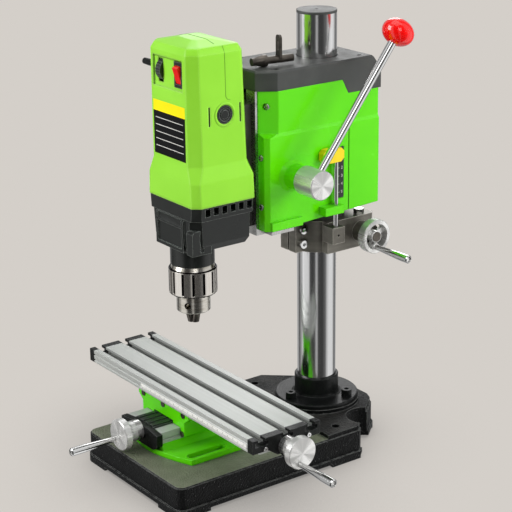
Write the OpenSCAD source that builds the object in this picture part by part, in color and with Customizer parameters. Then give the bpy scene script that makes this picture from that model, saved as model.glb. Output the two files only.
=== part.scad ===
// Benchtop drill press with a compound table, in millimetres.
// The origin is on the column axis at the bench plane: +Z up, +Y to the rear,
// +X to the operator's right, where the feed lever and the handwheels are.

/* [Fits] */
// Running clearance per side between a shaft or slide and its bore
fit = 0.06; // [0.03:0.01:0.1]
// Gap between moving pieces that pass close to each other
gap = 0.4; // [0.3:0.1:1]

/* [Column] */
// Diameter of the column tube
column_d = 48; // [46:1:50]
// Wall of the column tube
column_wall = 5; // [4.5:0.5:7]
// Height of the column top above the bench
column_top = 538; // [530:1:580]
// Diameter of the flange under the column
flange_d = 104; // [100:1:108]
// Thickness of the flange disc
flange_t = 5; // [4:0.5:8]
// Height of the flange neck above its disc
neck_h = 25; // [18:1:32]
// Wall of the flange neck
neck_wall = 3.5; // [3:0.5:5]

/* [Base] */
// Width of the base
base_w = 206; // [196:1:220]
// Distance from the column axis to the front edge of the base
base_front = 280; // [268:1:300]
// Distance from the column axis to the rear edge of the base
base_rear = 61; // [60:1:75]
// Height of the ground face above the bench
base_h = 38; // [34:1:44]
// Rise of the rear pad above the ground face
pad_rise = 4.5; // [3:0.5:6]
// Wall of the base casting
base_wall = 6; // [5:0.5:8]
// Thickness of the base deck
base_deck = 9; // [8:0.5:12]
// Diameter of the bench bolt holes
bench_hole_d = 10; // [8:0.5:11]

/* [Compound table] */
// Height of the table top above the ground face of the base
table_rise = 66.5; // [66:0.5:70]
// Length of the table extrusion
table_l = 330; // [300:5:360]
// Width of the table
table_w = 95; // [92:1:98]
// Thickness of the table extrusion
table_t = 16; // [15:0.5:17]
// Width of the mouth of a T-slot
slot_w = 10; // [8:0.5:11]
// Distance between the T-slots
slot_pitch = 35; // [32:0.5:36]
// Thickness of a table end cap
cap_t = 10; // [8:0.5:12]
// Distance from the column axis to the centre line of the table
table_back = 172.4; // [170:0.2:176]
// Table centre to the right of the saddle centre at rest
table_offset = 12; // [0:1:14]
// Saddle centre to the left of the column axis
saddle_left = 23; // [20:0.5:26]
// Length of the saddle along the table
saddle_l = 108; // [100:1:116]
// Width of the cross rail
rail_w = 72; // [68:1:76]
// Length of the cross rail
rail_l = 158; // [152:1:160]

/* [Head] */
// Distance from the column axis to the spindle axis
throat = 184; // [182:0.5:186]
// Width of the head across its upper covers
head_w = 92; // [90:1:96]
// Distance from the column axis to the front face of the head
head_front = 111; // [110:0.5:112]
// Distance from the column axis to the rear face of the covers
head_rear = 57; // [55:1:60]
// Height of the front bottom edge of the covers
head_bottom = 296; // [295:0.5:298]
// Height of the top of the head cap
head_top = 484; // [480:1:488]
// Wall of the covers
cover_wall = 3; // [2.5:0.1:3.5]

/* [Column bracket] */
// Height of the underside of the bracket
bracket_bottom = 248.5; // [246:0.5:250]
// Height of the bracket
bracket_h = 39.5; // [39:0.5:42]
// Width of the bracket
bracket_w = 84; // [82:1:86]
// Diameter of the round barrel of the bracket
barrel_d = 72; // [70:1:74]

/* [Feed] */
// Stroke of the motor on its slide
feed_stroke = 52; // [50:1:52]
// Distance from the column axis to the feed shaft
feed_back = 74; // [73.5:0.5:74.5]
// Height of the feed shaft
feed_z = 359; // [358:0.5:360]
// Tooth module of the feed pinion
feed_module = 2.5; // [2.4:0.05:2.55]
// Teeth of the feed pinion
feed_teeth = 18; // [18:1:18]
// Diameter of the feed shaft
feed_shaft_d = 16; // [14:0.5:17]
// Diameter of the feed hub
hub_d = 34; // [32:0.5:36]
// Length of the feed hub
hub_l = 33; // [30:0.5:36]
// Diameter of the lever rod
lever_d = 10; // [8:0.5:10.5]
// Length of the lever from the shaft axis to the middle of its knob
lever_l = 201; // [180:1:215]
// Angle of the lever behind the vertical at rest
lever_tilt = 38; // [30:1:44]
// Diameter of the lever knob
knob_d = 39; // [34:0.5:42]
// Length of the lever knob along the lever
knob_l = 31; // [26:0.5:34]

/* [Motor] */
// Distance from the spindle axis to the front face of the motor
motor_front = 26.5; // [26:0.5:28]
// Depth of the motor shell at its top
motor_depth = 70; // [68:0.5:72]
// Width of the motor shell at its top
motor_w = 89; // [87:1:91]
// Wall of the motor shell
motor_wall = 3; // [2.5:0.25:3.5]
// Height of the bottom edge of the motor shell
motor_z = 343; // [342:0.5:344]
// Height of the motor shell
motor_h = 184; // [180:1:190]
// Height of the gearbox under the motor shell
gearbox_h = 53; // [52:0.5:54]
// Tooth module of the spindle gears
gear_module = 1; // [0.95:0.05:1]
// Teeth of the spindle gear
spindle_teeth = 28; // [28:1:28]
// Teeth of the armature pinion
armature_teeth = 8; // [8:1:8]
// Diameter of the spindle
spindle_d = 16; // [15:0.5:17]
// Diameter of the spindle collar
collar_d = 52; // [50:0.5:54]
// Length of the spindle collar
collar_h = 26; // [24:0.5:28]

/* [Chuck] */
// Diameter of the chuck sleeve
chuck_d = 57; // [55:0.5:58]
// Length of the chuck sleeve
sleeve_h = 26; // [24:0.5:28]
// Diameter of the chuck nose
nose_d = 40; // [39:0.5:41]
// Length of the chuck nose
nose_h = 22; // [20:0.5:23]
// Length of the jaws below the nose
jaw_out = 15; // [12:0.5:18]
// Diameter of a jaw
jaw_d = 9; // [8:0.25:9.5]
// Angle between a jaw and the spindle axis
jaw_tilt = 13; // [12:0.5:13.5]
// Diameter of the chuck key holes
key_hole_d = 8; // [6:0.5:8.5]

/* [Handwheels] */
// Diameter of a table handwheel
wheel_d = 38; // [36:0.5:39]
// Thickness of a table handwheel
wheel_t = 9.5; // [8:0.5:11]
// Diameter of the graduated collar of a table handwheel
dial_d = 24; // [22:0.5:26]
// Length of the graduated collar
dial_l = 19; // [17:0.5:21]
// Diameter of a table leadscrew
screw_d = 9; // [8:0.5:9.5]
// Diameter of the lift wheel
lift_wheel_d = 42; // [40:0.5:43]
// Thickness of the lift wheel
lift_wheel_t = 12; // [11:0.5:13]
// Distance from a wheel axis to its crank handle
crank_r = 12.5; // [12:0.25:13.5]
// Length of a crank handle
crank_l = 60; // [50:1:65]
// Largest diameter of a crank handle
crank_d = 10; // [9:0.25:10.5]

/* [Hidden] */
// Length of a cut that goes right through the machine
reach = 2 * head_top;
$fn = 48;

// Overrun of every cut
over = 1;
// Small bevel on turned and machined edges
turn_bevel = 1;
// Colours
lime = "#7ddf3c";
green = "#5fd816";
black = "#1f2122";
charcoal = "#3a3b3d";
steel = "#b9babb";
dark_steel = "#6d6a66";
cast_iron = "#3b3937";
alloy = "#d4d6d4";
brass = "#c2a14a";
copper = "#b06a3a";
red = "#e01c14";
yellow = "#f4cc18";

// Points of an arc about c, in degrees, for outlines
function arc(c, r, a0, a1, n = 6) =
    [for (i = [0 : n]) [c[0] + r * cos(a0 + (a1 - a0) * i / n), c[1] + r * sin(a0 + (a1 - a0) * i / n)]];
// Outline points raised to one height
function at_height(pts, z) = [for (p = pts) [p[0], p[1], z]];
// Outline given on the right, completed by its mirror image on the left
function both_sides(pts) =
    concat(pts, [for (i = [len(pts) - 1 : -1 : 0]) [-pts[i][0], pts[i][1]]]);

// Solid through a stack of rings that all have the same number of points
module loft(rings) {
    n = len(rings[0]);
    last = len(rings) - 1;
    sides = [for (k = [0 : last - 1], i = [0 : n - 1], t = [0 : 1])
        let (a = k * n + i, b = k * n + (i + 1) % n)
        t == 0 ? [a, a + n, b + n] : [a, b + n, b]];
    polyhedron(points = [for (ring = rings, p = ring) p],
        faces = concat([[for (i = [0 : n - 1]) i]], [[for (i = [n - 1 : -1 : 0]) last * n + i]], sides));
}

// Cylinder along X from x0 with its axis through y and z
module rod_x(x0, l, r, y, z) {
    translate([x0, y, z]) rotate([0, 90, 0]) cylinder(h = l, r = r);
}

// Cylinder along Y from y0 with its axis through x and z
module rod_y(y0, l, r, x, z) {
    translate([x, y0, z]) rotate([-90, 0, 0]) cylinder(h = l, r = r);
}

// Outline in Y and Z, extruded along X from x0
module extrude_x(x0, l) {
    translate([x0, 0, 0]) rotate([90, 0, 90]) linear_extrude(l) children();
}

// Outline in X and Z, extruded along Y from y0
module extrude_y(y0, l) {
    translate([0, y0 + l, 0]) rotate([90, 0, 0]) linear_extrude(l) children();
}

// Round-ended slot outline from one centre to the other, along the second axis
module slot2d(w, l) {
    translate([-w / 2, -l / 2]) square([w, l]);
    for (s = [-1, 1]) translate([0, s * l / 2]) circle(d = w);
}

// Involute function of an angle in degrees, in degrees
function involute(a) = tan(a) * 180 / PI - a;
pressure = 20;
// Half angle of a gear tooth at radius r
function tooth_half(m, z, r, lash) =
    let (rp = m * z / 2, rb = rp * cos(pressure))
    (90 - lash / m * 180 / PI) / z + involute(pressure) - involute(acos(min(1, rb / r)));
tooth_tip_share = 0.85;
tooth_root_share = 1.2;
lash_share = 0.12;
// Outline of a gear: one tooth points along the first axis turned by phase
function gear_points(m, z, phase) =
    let (rp = m * z / 2, rb = rp * cos(pressure), rr = rp - tooth_root_share * m,
        ra = rp + tooth_tip_share * m, rf = max(rb, rr), lash = lash_share * m)
    [for (i = [0 : z - 1], s = [-1, 1], k = [0 : 3])
        let (r = s < 0 ? [rr, rf, (rf + ra) / 2, ra][k] : [ra, (rf + ra) / 2, rf, rr][k],
            h = tooth_half(m, z, max(r, rf), lash),
            a = phase + i * 360 / z + s * h)
        [r * cos(a), r * sin(a)]];
// Outline of a rack along the second axis: a gap is centred at zero, teeth point to minus
function rack_points(m, n, back) =
    let (p = PI * m, lash = lash_share * m, ha = tooth_tip_share * m, hf = tooth_root_share * m,
        half = p / 4 - lash / 2, tip = half - ha * tan(pressure), root = half + hf * tan(pressure))
    concat([[back, -n / 2 * p]],
        [[hf, -n / 2 * p]],
        [for (i = [0 : n - 1], k = [0 : 3])
            let (c = (i - (n - 1) / 2) * p)
            [[hf, c - root], [-ha, c - tip], [-ha, c + tip], [hf, c + root]][k]],
        [[hf, n / 2 * p]], [[back, n / 2 * p]]);

// Column and flange
column_r = column_d / 2;
flange_r = flange_d / 2;
seat_out = 2;
seat_r = flange_r + seat_out;
seat_z = base_h + pad_rise + flange_t;
flange_z = seat_z + flange_t;
neck_r = column_r + neck_wall;
neck_top = flange_z + neck_h;
neck_fillet = 4;
bolt_d = 8;
bolt_head_d = 13;
bolt_head_h = 8;
bolt_circle_r = (neck_r + flange_r) / 2 + bolt_d / 8;
bolt_angles_shares = [-1 / 4, 1 / 12, 5 / 12];
socket_d = bolt_head_d / 2;
column_cap_t = 3;
column_cap_hole_d = 4;

// Lift rack and pinion behind the column
lift_module = 1.5;
lift_teeth = 12;
lift_pitch_r = lift_module * lift_teeth / 2;
rack_w = 10;
rack_seat = column_r - column_wall / 2;
lift_pitch_y = column_r + lift_module * tooth_root_share + fit;
lift_y = lift_pitch_y + lift_pitch_r;
lift_z = bracket_bottom + bracket_h / 2;
rack_teeth = 34;
rack_mid_drop = 15;
lift_pitch = PI * lift_module;
rack_mid_z = lift_z - round(rack_mid_drop / lift_pitch) * lift_pitch;
rack_bottom = rack_mid_z - rack_teeth / 2 * lift_pitch;
rack_top = rack_mid_z + rack_teeth / 2 * lift_pitch;
rack_tip_y = lift_pitch_y + tooth_tip_share * lift_module;

module column_flange() color(black) difference() {
    union() {
        translate([0, 0, seat_z]) rotate_extrude() polygon([[0, 0], [flange_r, 0],
            [flange_r, flange_t - over], [flange_r - over, flange_t], [neck_r + neck_fillet, flange_t],
            [neck_r + neck_fillet / 4, flange_t + neck_fillet / 4], [neck_r, flange_t + neck_fillet],
            [neck_r, flange_t + neck_h - over], [neck_r - over, flange_t + neck_h], [0, flange_t + neck_h]]);
    }
    translate([0, 0, seat_z - over]) cylinder(h = flange_t + neck_h + 2 * over, r = column_r + fit);
    flange_bolt_places() translate([0, 0, seat_z - over])
        cylinder(h = flange_t + 2 * over, d = bolt_d + fit);
}

module flange_bolt_places() {
    for (share = bolt_angles_shares) rotate([0, 0, share * 360]) translate([bolt_circle_r, 0, 0])
        children();
}

module flange_bolts() color(black) flange_bolt_places() difference() {
    union() {
        translate([0, 0, base_h]) cylinder(h = flange_z - base_h, d = bolt_d - 2 * fit);
        translate([0, 0, flange_z]) cylinder(h = bolt_head_h, d = bolt_head_d);
    }
    translate([0, 0, flange_z + bolt_head_h / 2]) cylinder(h = bolt_head_h, d = socket_d, $fn = 6);
}

module column() color(steel) difference() {
    translate([0, 0, seat_z]) cylinder(h = column_top - column_cap_t - seat_z, r = column_r);
    translate([0, 0, seat_z - over])
        cylinder(h = column_top - seat_z + over, r = column_r - column_wall);
    translate([-rack_w / 2, rack_seat, rack_bottom])
        cube([rack_w, column_r, rack_top - rack_bottom]);
}

module column_cap() color(charcoal) difference() {
    union() {
        translate([0, 0, column_top - column_cap_t]) cylinder(h = column_cap_t, r = column_r);
        translate([0, 0, column_top - 4 * column_cap_t])
            cylinder(h = 4 * column_cap_t, r = column_r - column_wall - fit);
    }
    translate([0, 0, column_top - column_cap_t])
        cylinder(h = column_cap_t + over, d = column_cap_hole_d);
}

module column_rack() color(dark_steel) extrude_x(-rack_w / 2 + fit, rack_w - 2 * fit)
    polygon([for (p = rack_points(lift_module, rack_teeth, lift_pitch_y - rack_seat))
        [lift_pitch_y - p[0], rack_mid_z + p[1]]]);

// Base casting: a walled shell with a lip, pads, a ground face and a raised rear pad
base_corner = 13;
ear_x = 45;
ear_y = 56;
ear_cut_share = 0.74;
diag_y = 12;
pad_front = 60;
lip_out = 2;
lip_h = 6;
foot_h = 4;
foot_w = 44;
notch_x = 81;
notch_y = 13;
notch_r = 24;
rib_t = 6;
base_slot_x = 48;
base_slot_w = 13;
base_slot_l = 96;
base_slot_front = 97;
base_slot_y = base_front - base_slot_front;
bench_hole_x = 83;
bench_hole_y = 36;
edge_bevel = 1.5;

function base_points(i) =
    let (w = base_w / 2 - i, f = base_front - i, r = max(base_corner - i, over), e = ear_x - i * 0.6)
    concat(arc([-w + r, -f + r], r, 180, 270), arc([w - r, -f + r], r, 270, 360),
        [[w, -diag_y - i * 0.4], [e, ear_y - i], [ear_x * ear_cut_share - i / 2, base_rear - i],
        [-ear_x * ear_cut_share + i / 2, base_rear - i], [-e, ear_y - i], [-w, -diag_y - i * 0.4]]);

module base_casting() color(black) difference() {
    union() {
        translate([0, 0, foot_h]) linear_extrude(base_h - foot_h - edge_bevel) polygon(base_points(lip_out));
        translate([0, 0, base_h - edge_bevel]) linear_extrude(edge_bevel)
            polygon(base_points(lip_out + edge_bevel));
        translate([0, 0, foot_h]) linear_extrude(lip_h) polygon(base_points(0));
        base_feet();
        intersection() {
            translate([0, 0, base_h - over]) linear_extrude(pad_rise + over)
                polygon(base_points(lip_out + edge_bevel));
            translate([-base_w, -pad_front, 0]) cube([2 * base_w, base_front, reach]);
        }
        translate([0, 0, base_h]) cylinder(h = seat_z - base_h, r = seat_r);
    }
    base_hollow();
    translate([notch_x, notch_y, -over])
        cylinder(h = reach, r = notch_r);
    flange_bolt_places() translate([0, 0, base_h]) cylinder(h = reach, d = bolt_d);
    for (s = [-1, 1]) {
        translate([s * bench_hole_x, -bench_hole_y, -over])
            cylinder(h = reach, d = bench_hole_d);
        translate([s * base_slot_x, -base_slot_y, base_h - 2 * base_deck])
            linear_extrude(3 * base_deck) slot2d(base_slot_w, base_slot_l - base_slot_w);
    }
}

module base_feet() intersection() {
    linear_extrude(foot_h + over) polygon(base_points(0));
    union() for (s = [-1, 1]) {
        translate([s * (base_w / 2 - foot_w / 2) - foot_w / 2, -base_front, 0])
            cube([foot_w, foot_w, foot_h + over]);
        translate([s * (base_w / 2 - foot_w / 2) - foot_w / 2, -diag_y - foot_w, 0])
            cube([foot_w, foot_w, foot_h + over]);
        translate([-ear_x, base_rear - foot_w, 0]) cube([2 * ear_x, foot_w, foot_h + over]);
        cylinder(h = foot_h + over, r = seat_r - base_wall);
    }
}

// The hollow under the deck leaves ribs, the boss under the flange and the wall round the notch
module base_hollow() difference() {
    translate([0, 0, -over]) linear_extrude(base_h - base_deck + over)
        polygon(base_points(lip_out + base_wall));
    translate([0, 0, -over]) cylinder(h = base_h, r = seat_r - base_wall);
    for (y = [-flange_r, -base_front / 2 - base_wall])
        translate([-base_w, y - rib_t, foot_h]) cube([2 * base_w, rib_t, base_h]);
    translate([notch_x, notch_y, -over]) cylinder(h = base_h, r = notch_r + base_wall);
    for (s = [-1, 1]) translate([s * bench_hole_x, -bench_hole_y, foot_h])
        cylinder(h = base_h, d = bench_hole_d + 2 * base_wall);
}

// Compound table heights, from the ground face up
table_z = base_h + table_rise;
table_x = table_offset - saddle_left;
plate_t = 6.5;
pedestal_h = 14;
rail_h = 14;
rail_z = base_h + pedestal_h;
rail_top = rail_z + rail_h;
saddle_top = table_z - table_t - gap / 4;
plate_right = 82;
plate_left = 57;
plate_set_back = 20;
plate_front = table_back + rail_l / 2 - plate_set_back;
plate_bulge = 18;
plate_rear = table_back - rail_l / 2;
pedestal_w = 82;
plate_slot_w = 11;
plate_slot_l = 54;
plate_slot_x = base_slot_x + saddle_left;
plate_slot_front = 30;
plate_slot_y = table_back + plate_slot_front;
end_plate_t = 8;
end_plate_w = 78;
end_plate_rise = 2;
end_plate_top = rail_top + end_plate_rise;
cross_screw_rise = 23;
cross_z = base_h + cross_screw_rise;
groove_w = 2.4;
channel_w = 30;
channel_d = 10.5;

// Plan of the green plate: straight sides, bulging front, square rear
function plate_points() =
    let (n = 10, w = plate_right + plate_left)
    concat([for (i = [0 : n]) let (t = i / n)
            [-plate_left + w * t, -plate_front - plate_bulge * sin(180 * t)]],
        [[plate_right, -plate_rear], [-plate_left, -plate_rear]]);

module at_saddle() translate([-saddle_left, 0, 0]) children();

module compound_base() color(green) at_saddle() difference() {
    union() {
        translate([0, 0, base_h]) linear_extrude(plate_t) polygon(plate_points());
        extrude_y(-table_back - rail_l / 2 + end_plate_t, rail_l - 2 * end_plate_t)
            polygon([[-pedestal_w / 2 - plate_t, base_h + over], [pedestal_w / 2 + plate_t, base_h + over],
                [pedestal_w / 2, base_h + plate_t + over], [rail_w / 2, rail_z],
                [-rail_w / 2, rail_z], [-pedestal_w / 2, base_h + plate_t + over]]);
    }
    translate([plate_slot_x, -plate_slot_y, base_h - over]) linear_extrude(plate_t + 2 * over)
        slot2d(plate_slot_w, plate_slot_l - plate_slot_w);
}

// Extruded cross rail with grooved sides and a channel for the leadscrew
module cross_rail() color(alloy) at_saddle()
    extrude_y(-table_back - rail_l / 2 + end_plate_t, rail_l - 2 * end_plate_t) difference() {
        translate([-rail_w / 2, rail_z]) square([rail_w, rail_h]);
        translate([-channel_w / 2, rail_top - channel_d]) square([channel_w, channel_d + over]);
        for (s = [-1, 1]) translate([s * rail_w / 2, rail_z + rail_h / 3])
            polygon([[s * over, groove_w], [-s * groove_w / 2, 0], [s * over, -groove_w]]);
    }

module cross_end_plates() color(black) at_saddle() {
    for (y = [-table_back - rail_l / 2, -table_back + rail_l / 2 - end_plate_t]) difference() {
        extrude_y(y, end_plate_t) polygon([[-end_plate_w / 2, rail_z - over], [-channel_w, base_h + plate_t],
            [channel_w, base_h + plate_t], [end_plate_w / 2, rail_z - over], [end_plate_w / 2, rail_top - over],
            [channel_w / 2, end_plate_top], [-channel_w / 2, end_plate_top], [-end_plate_w / 2, rail_top - over]]);
        rod_y(y - over, end_plate_t + 2 * over, screw_d / 2 + fit, 0, cross_z);
    }
}

// Ribbed rubber cover over the leadscrew channel, slotted along the middle for the nut
way_cover_w = 40;
way_cover_t = 1.6;
way_rib_h = 1.8;
way_ribs = 4;
way_cover_top = rail_top + way_cover_t + way_rib_h;
cross_travel = 24;
nut_l = 26;
nut_w = 14;
nut_wall = 1.2;
module cross_way_cover() color(black) at_saddle() {
    pitch = way_cover_w / way_ribs;
    difference() {
        extrude_y(-table_back - rail_l / 2 + end_plate_t, rail_l - 2 * end_plate_t) {
            translate([-way_cover_w / 2, rail_top]) square([way_cover_w, way_cover_t]);
            for (i = [0 : way_ribs - 1]) translate([(i - (way_ribs - 1) / 2) * pitch, rail_top + way_cover_t])
                polygon([[-pitch / 3, -way_cover_t / 2], [pitch / 3, -way_cover_t / 2],
                    [pitch / 5, way_rib_h], [-pitch / 5, way_rib_h]]);
        }
        translate([-nut_w / 2 - gap, -table_back - nut_l / 2 - cross_travel - gap, rail_top - over])
            cube([nut_w + 2 * gap, nut_l + 2 * cross_travel + 2 * gap, rail_top]);
    }
}

// Saddle: a block astride the cross rail with a wide head that carries the table
saddle_d = 88;
saddle_skirt = 9;
saddle_neck_share = 0.76;
saddle_head_h = 14;
saddle_floor = 5;
tongue_w = 54;
tongue_h = 8;
tongue_flare = 4;
gib_screw_d = 7;
gib_screw_out = 1.2;
gib_pitch = 43;
saddle_z = rail_top + gap / 4;

module saddle() color(green) at_saddle() translate([0, -table_back, 0]) difference() {
    extrude_y(-saddle_d / 2, saddle_d) saddle_front();
    extrude_x(-saddle_l, 2 * saddle_l) polygon(tongue_points(fit, over));
    translate([-way_cover_w / 2 - gap, -saddle_d, 0])
        cube([way_cover_w + 2 * gap, 2 * saddle_d, way_cover_top + gap]);
}

module saddle_front() {
    half = saddle_l / 2;
    foot = rail_w / 2 + gap / 4;
    polygon([[-foot, saddle_z], [-foot, rail_z + groove_w * 2], [-foot - saddle_skirt, rail_z + groove_w * 2],
        [-foot - saddle_skirt, saddle_top - saddle_head_h], [-half, saddle_top - saddle_head_h / 2],
        [-half, saddle_top], [half, saddle_top], [half, saddle_top - saddle_head_h / 2],
        [foot + saddle_skirt, saddle_top - saddle_head_h], [foot + saddle_skirt, rail_z + groove_w * 2],
        [foot, rail_z + groove_w * 2], [foot, saddle_z]]);
}

// Dovetail tongue under the table, in Y and Z about the table's centre line
function tongue_points(c, up) =
    let (h = tongue_w / 2 + c, f = tongue_flare)
    [[-h, saddle_top + up], [-h, saddle_top], [-h - f, saddle_top - tongue_h - c],
        [h + f, saddle_top - tongue_h - c], [h, saddle_top], [h, saddle_top + up]];

module gib_screws() color(black) at_saddle() translate([0, -table_back, 0]) {
    for (x = [-gib_pitch, 0, gib_pitch]) socket_screw_y(x, saddle_top - saddle_head_h / 3);
    socket_screw_y(rail_w / 2 + saddle_skirt / 2, rail_z + rail_h / 2);
}

module socket_screw_y(x, z) difference() {
    rod_y(-saddle_d / 2 - gib_screw_out, gib_screw_out, gib_screw_d / 2, x, z);
    rod_y(-saddle_d / 2 - gib_screw_out - over, gib_screw_out, gib_screw_d / 4, x, z);
}

// Brass nuts: one stands on the saddle floor, one hangs through the slot of the way cover
table_screw_drop = 0.8;
table_screw_z = table_z - table_t - table_screw_drop;
table_nut_top = table_screw_z + screw_d / 2 + nut_wall;
module leadscrew_nuts() color(brass) at_saddle() translate([0, -table_back, 0]) {
    difference() {
        translate([-nut_l / 2, -nut_w / 2, saddle_top - tongue_h - fit])
            cube([nut_l, nut_w, table_nut_top - saddle_top + tongue_h + fit]);
        rod_x(-nut_l, 2 * nut_l, screw_d / 2 + fit, 0, table_screw_z);
    }
    difference() {
        translate([-nut_w / 2, -nut_l / 2, rail_top - channel_d + gap])
            cube([nut_w, nut_l, way_cover_top - rail_top + channel_d]);
        rod_y(-nut_l, 2 * nut_l, screw_d / 2 + fit, 0, cross_z);
    }
}

// Table extrusion with three T-slots, a dovetail tongue and a screw channel
slot_lip = 3.2;
slot_depth = 8.6;
slot_undercut = 3.6;
hump_w = 52;
hump_h = 9;

module tee_slots(up) {
    for (y = [-slot_pitch, 0, slot_pitch]) translate([y, table_z]) {
        translate([-slot_w / 2, -slot_depth]) square([slot_w, slot_depth + up]);
        translate([-slot_w / 2 - slot_undercut, -slot_depth])
            square([slot_w + 2 * slot_undercut, slot_depth - slot_lip]);
    }
}

module at_table() translate([0, -table_back, 0]) children();

module table() color(alloy) at_table() extrude_x(table_x - table_l / 2, table_l) difference() {
    union() {
        translate([-table_w / 2, table_z - table_t]) square([table_w, table_t]);
        polygon(tongue_points(0, gap));
    }
    tee_slots(over);
    translate([-nut_w / 2 - gap, 0]) square([nut_w + 2 * gap, table_nut_top + gap]);
    for (z = [table_z - slot_lip - groove_w, table_z - table_t + groove_w * 1.5])
        translate([-table_w / 2, z]) polygon([[-over, groove_w], [groove_w / 2, 0], [-over, -groove_w]]);
}

module table_end_caps() color(black) at_table()
    for (x = [table_x - table_l / 2 - cap_t, table_x + table_l / 2]) difference() {
        extrude_x(x, cap_t) difference() {
            polygon([[-table_w / 2, table_z], [-table_w / 2, table_z - table_t],
                [-hump_w / 2, table_z - table_t], [-hump_w / 4, table_z - table_t - hump_h],
                [hump_w / 4, table_z - table_t - hump_h], [hump_w / 2, table_z - table_t],
                [table_w / 2, table_z - table_t], [table_w / 2, table_z]]);
            tee_slots(over);
        }
        rod_x(x - over, cap_t + 2 * over, screw_d / 2 + fit, 0, table_screw_z);
    }

// Crank parts stand along +Z, with the wheel face at zero
pin_r = 2.5;
pin_head_h = 2;
crank_neck_share = 0.66;

module crank_pin() {
    cylinder(h = crank_l - pin_head_h, r = pin_r);
    translate([0, 0, crank_l - 2 * pin_head_h - gap]) cylinder(h = pin_head_h, r = pin_r * 1.4);
}

module crank_handle() difference() {
    rotate_extrude() polygon([[0, gap], [crank_d / 2 * crank_neck_share, gap],
        [crank_d / 2 * crank_neck_share, crank_l / 6], [crank_d / 2, crank_l * 0.7],
        [crank_d / 2, crank_l - pin_r / 2], [crank_d / 2 - pin_r / 2, crank_l], [0, crank_l]]);
    translate([0, 0, -over]) cylinder(h = crank_l + 2 * over, r = pin_r + fit);
    translate([0, 0, crank_l - 2 * pin_head_h - 2 * gap])
        cylinder(h = 3 * pin_head_h, r = pin_r * 1.4 + fit);
}

// Turned handwheel with its graduated collar, along +Z from the bearing face
module turned_wheel() difference() {
    union() {
        translate([0, 0, gap]) cylinder(h = dial_l, d = dial_d);
        translate([0, 0, gap + dial_l]) rotate_extrude() polygon([[0, 0],
            [wheel_d / 2 - turn_bevel, 0], [wheel_d / 2, turn_bevel],
            [wheel_d / 2, wheel_t - turn_bevel], [wheel_d / 2 - turn_bevel, wheel_t], [0, wheel_t]]);
    }
    translate([0, 0, -over]) cylinder(h = over + gap + dial_l + wheel_t / 2, r = screw_d / 2 + fit / 2);
}

table_crank_angle = 252;
cross_crank_angle = 222;
lift_crank_angle = 262;
table_wheel_x = table_x + table_l / 2 + cap_t;
wheel_face = gap + dial_l + wheel_t;
cross_wheel_y = -table_back - rail_l / 2;

// Local frames of the three wheels: +Z points out of the wheel
module at_table_wheel() translate([table_wheel_x, -table_back, table_screw_z])
    rotate([90, 0, 90]) children();
module at_cross_wheel() translate([-saddle_left, cross_wheel_y, cross_z]) rotate([90, 0, 0]) children();
module at_lift_wheel() translate([0, lift_y, lift_z]) rotate([90, 0, 90]) children();
module at_crank(angle, r, z) rotate([0, 0, angle]) translate([r, 0, z]) children();

module table_leadscrew() color(dark_steel) at_table()
    rod_x(table_x - table_l / 2 - cap_t, table_l + 2 * cap_t + gap + dial_l + wheel_t / 3,
        screw_d / 2, 0, table_screw_z);
module table_handwheel() color(steel) at_table_wheel() {
    turned_wheel();
    at_crank(table_crank_angle, crank_r, wheel_face) crank_pin();
}
module table_crank_handle() color(steel) at_table_wheel()
    at_crank(table_crank_angle, crank_r, wheel_face) crank_handle();

module cross_leadscrew() color(dark_steel)
    rod_y(cross_wheel_y - gap - dial_l - wheel_t / 3, rail_l + gap + dial_l + wheel_t / 3,
        screw_d / 2, -saddle_left, cross_z);
module cross_handwheel() color(steel) at_cross_wheel() {
    turned_wheel();
    at_crank(cross_crank_angle, crank_r, wheel_face) crank_pin();
}
module cross_crank_handle() color(steel) at_cross_wheel()
    at_crank(cross_crank_angle, crank_r, wheel_face) crank_handle();

// Column bracket: a split barrel with clamp ears in front and a gear block behind
bracket_top = bracket_bottom + bracket_h;
barrel_r = barrel_d / 2;
ear_w = 30;
ear_front = 43.6;
ear_slit = 2.2;
bracket_front = 16;
bracket_behind = 22;
bracket_rear = lift_y + bracket_behind;
block_bevel = 4;
clamp_back = 1.5;
lift_shaft_d = 12;
lift_boss_d = 26;
lift_boss_x = 61;
lift_pinion_w = 14;
clamp_screw_d = 6;
clamp_head_d = 10;
clamp_head_h = 6;
clamp_drops_shares = [0.27, 0.73];
hex_head_d = 13;
hex_head_h = 5.3;
hex_x = 31;
hex_y = 41;

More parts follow.
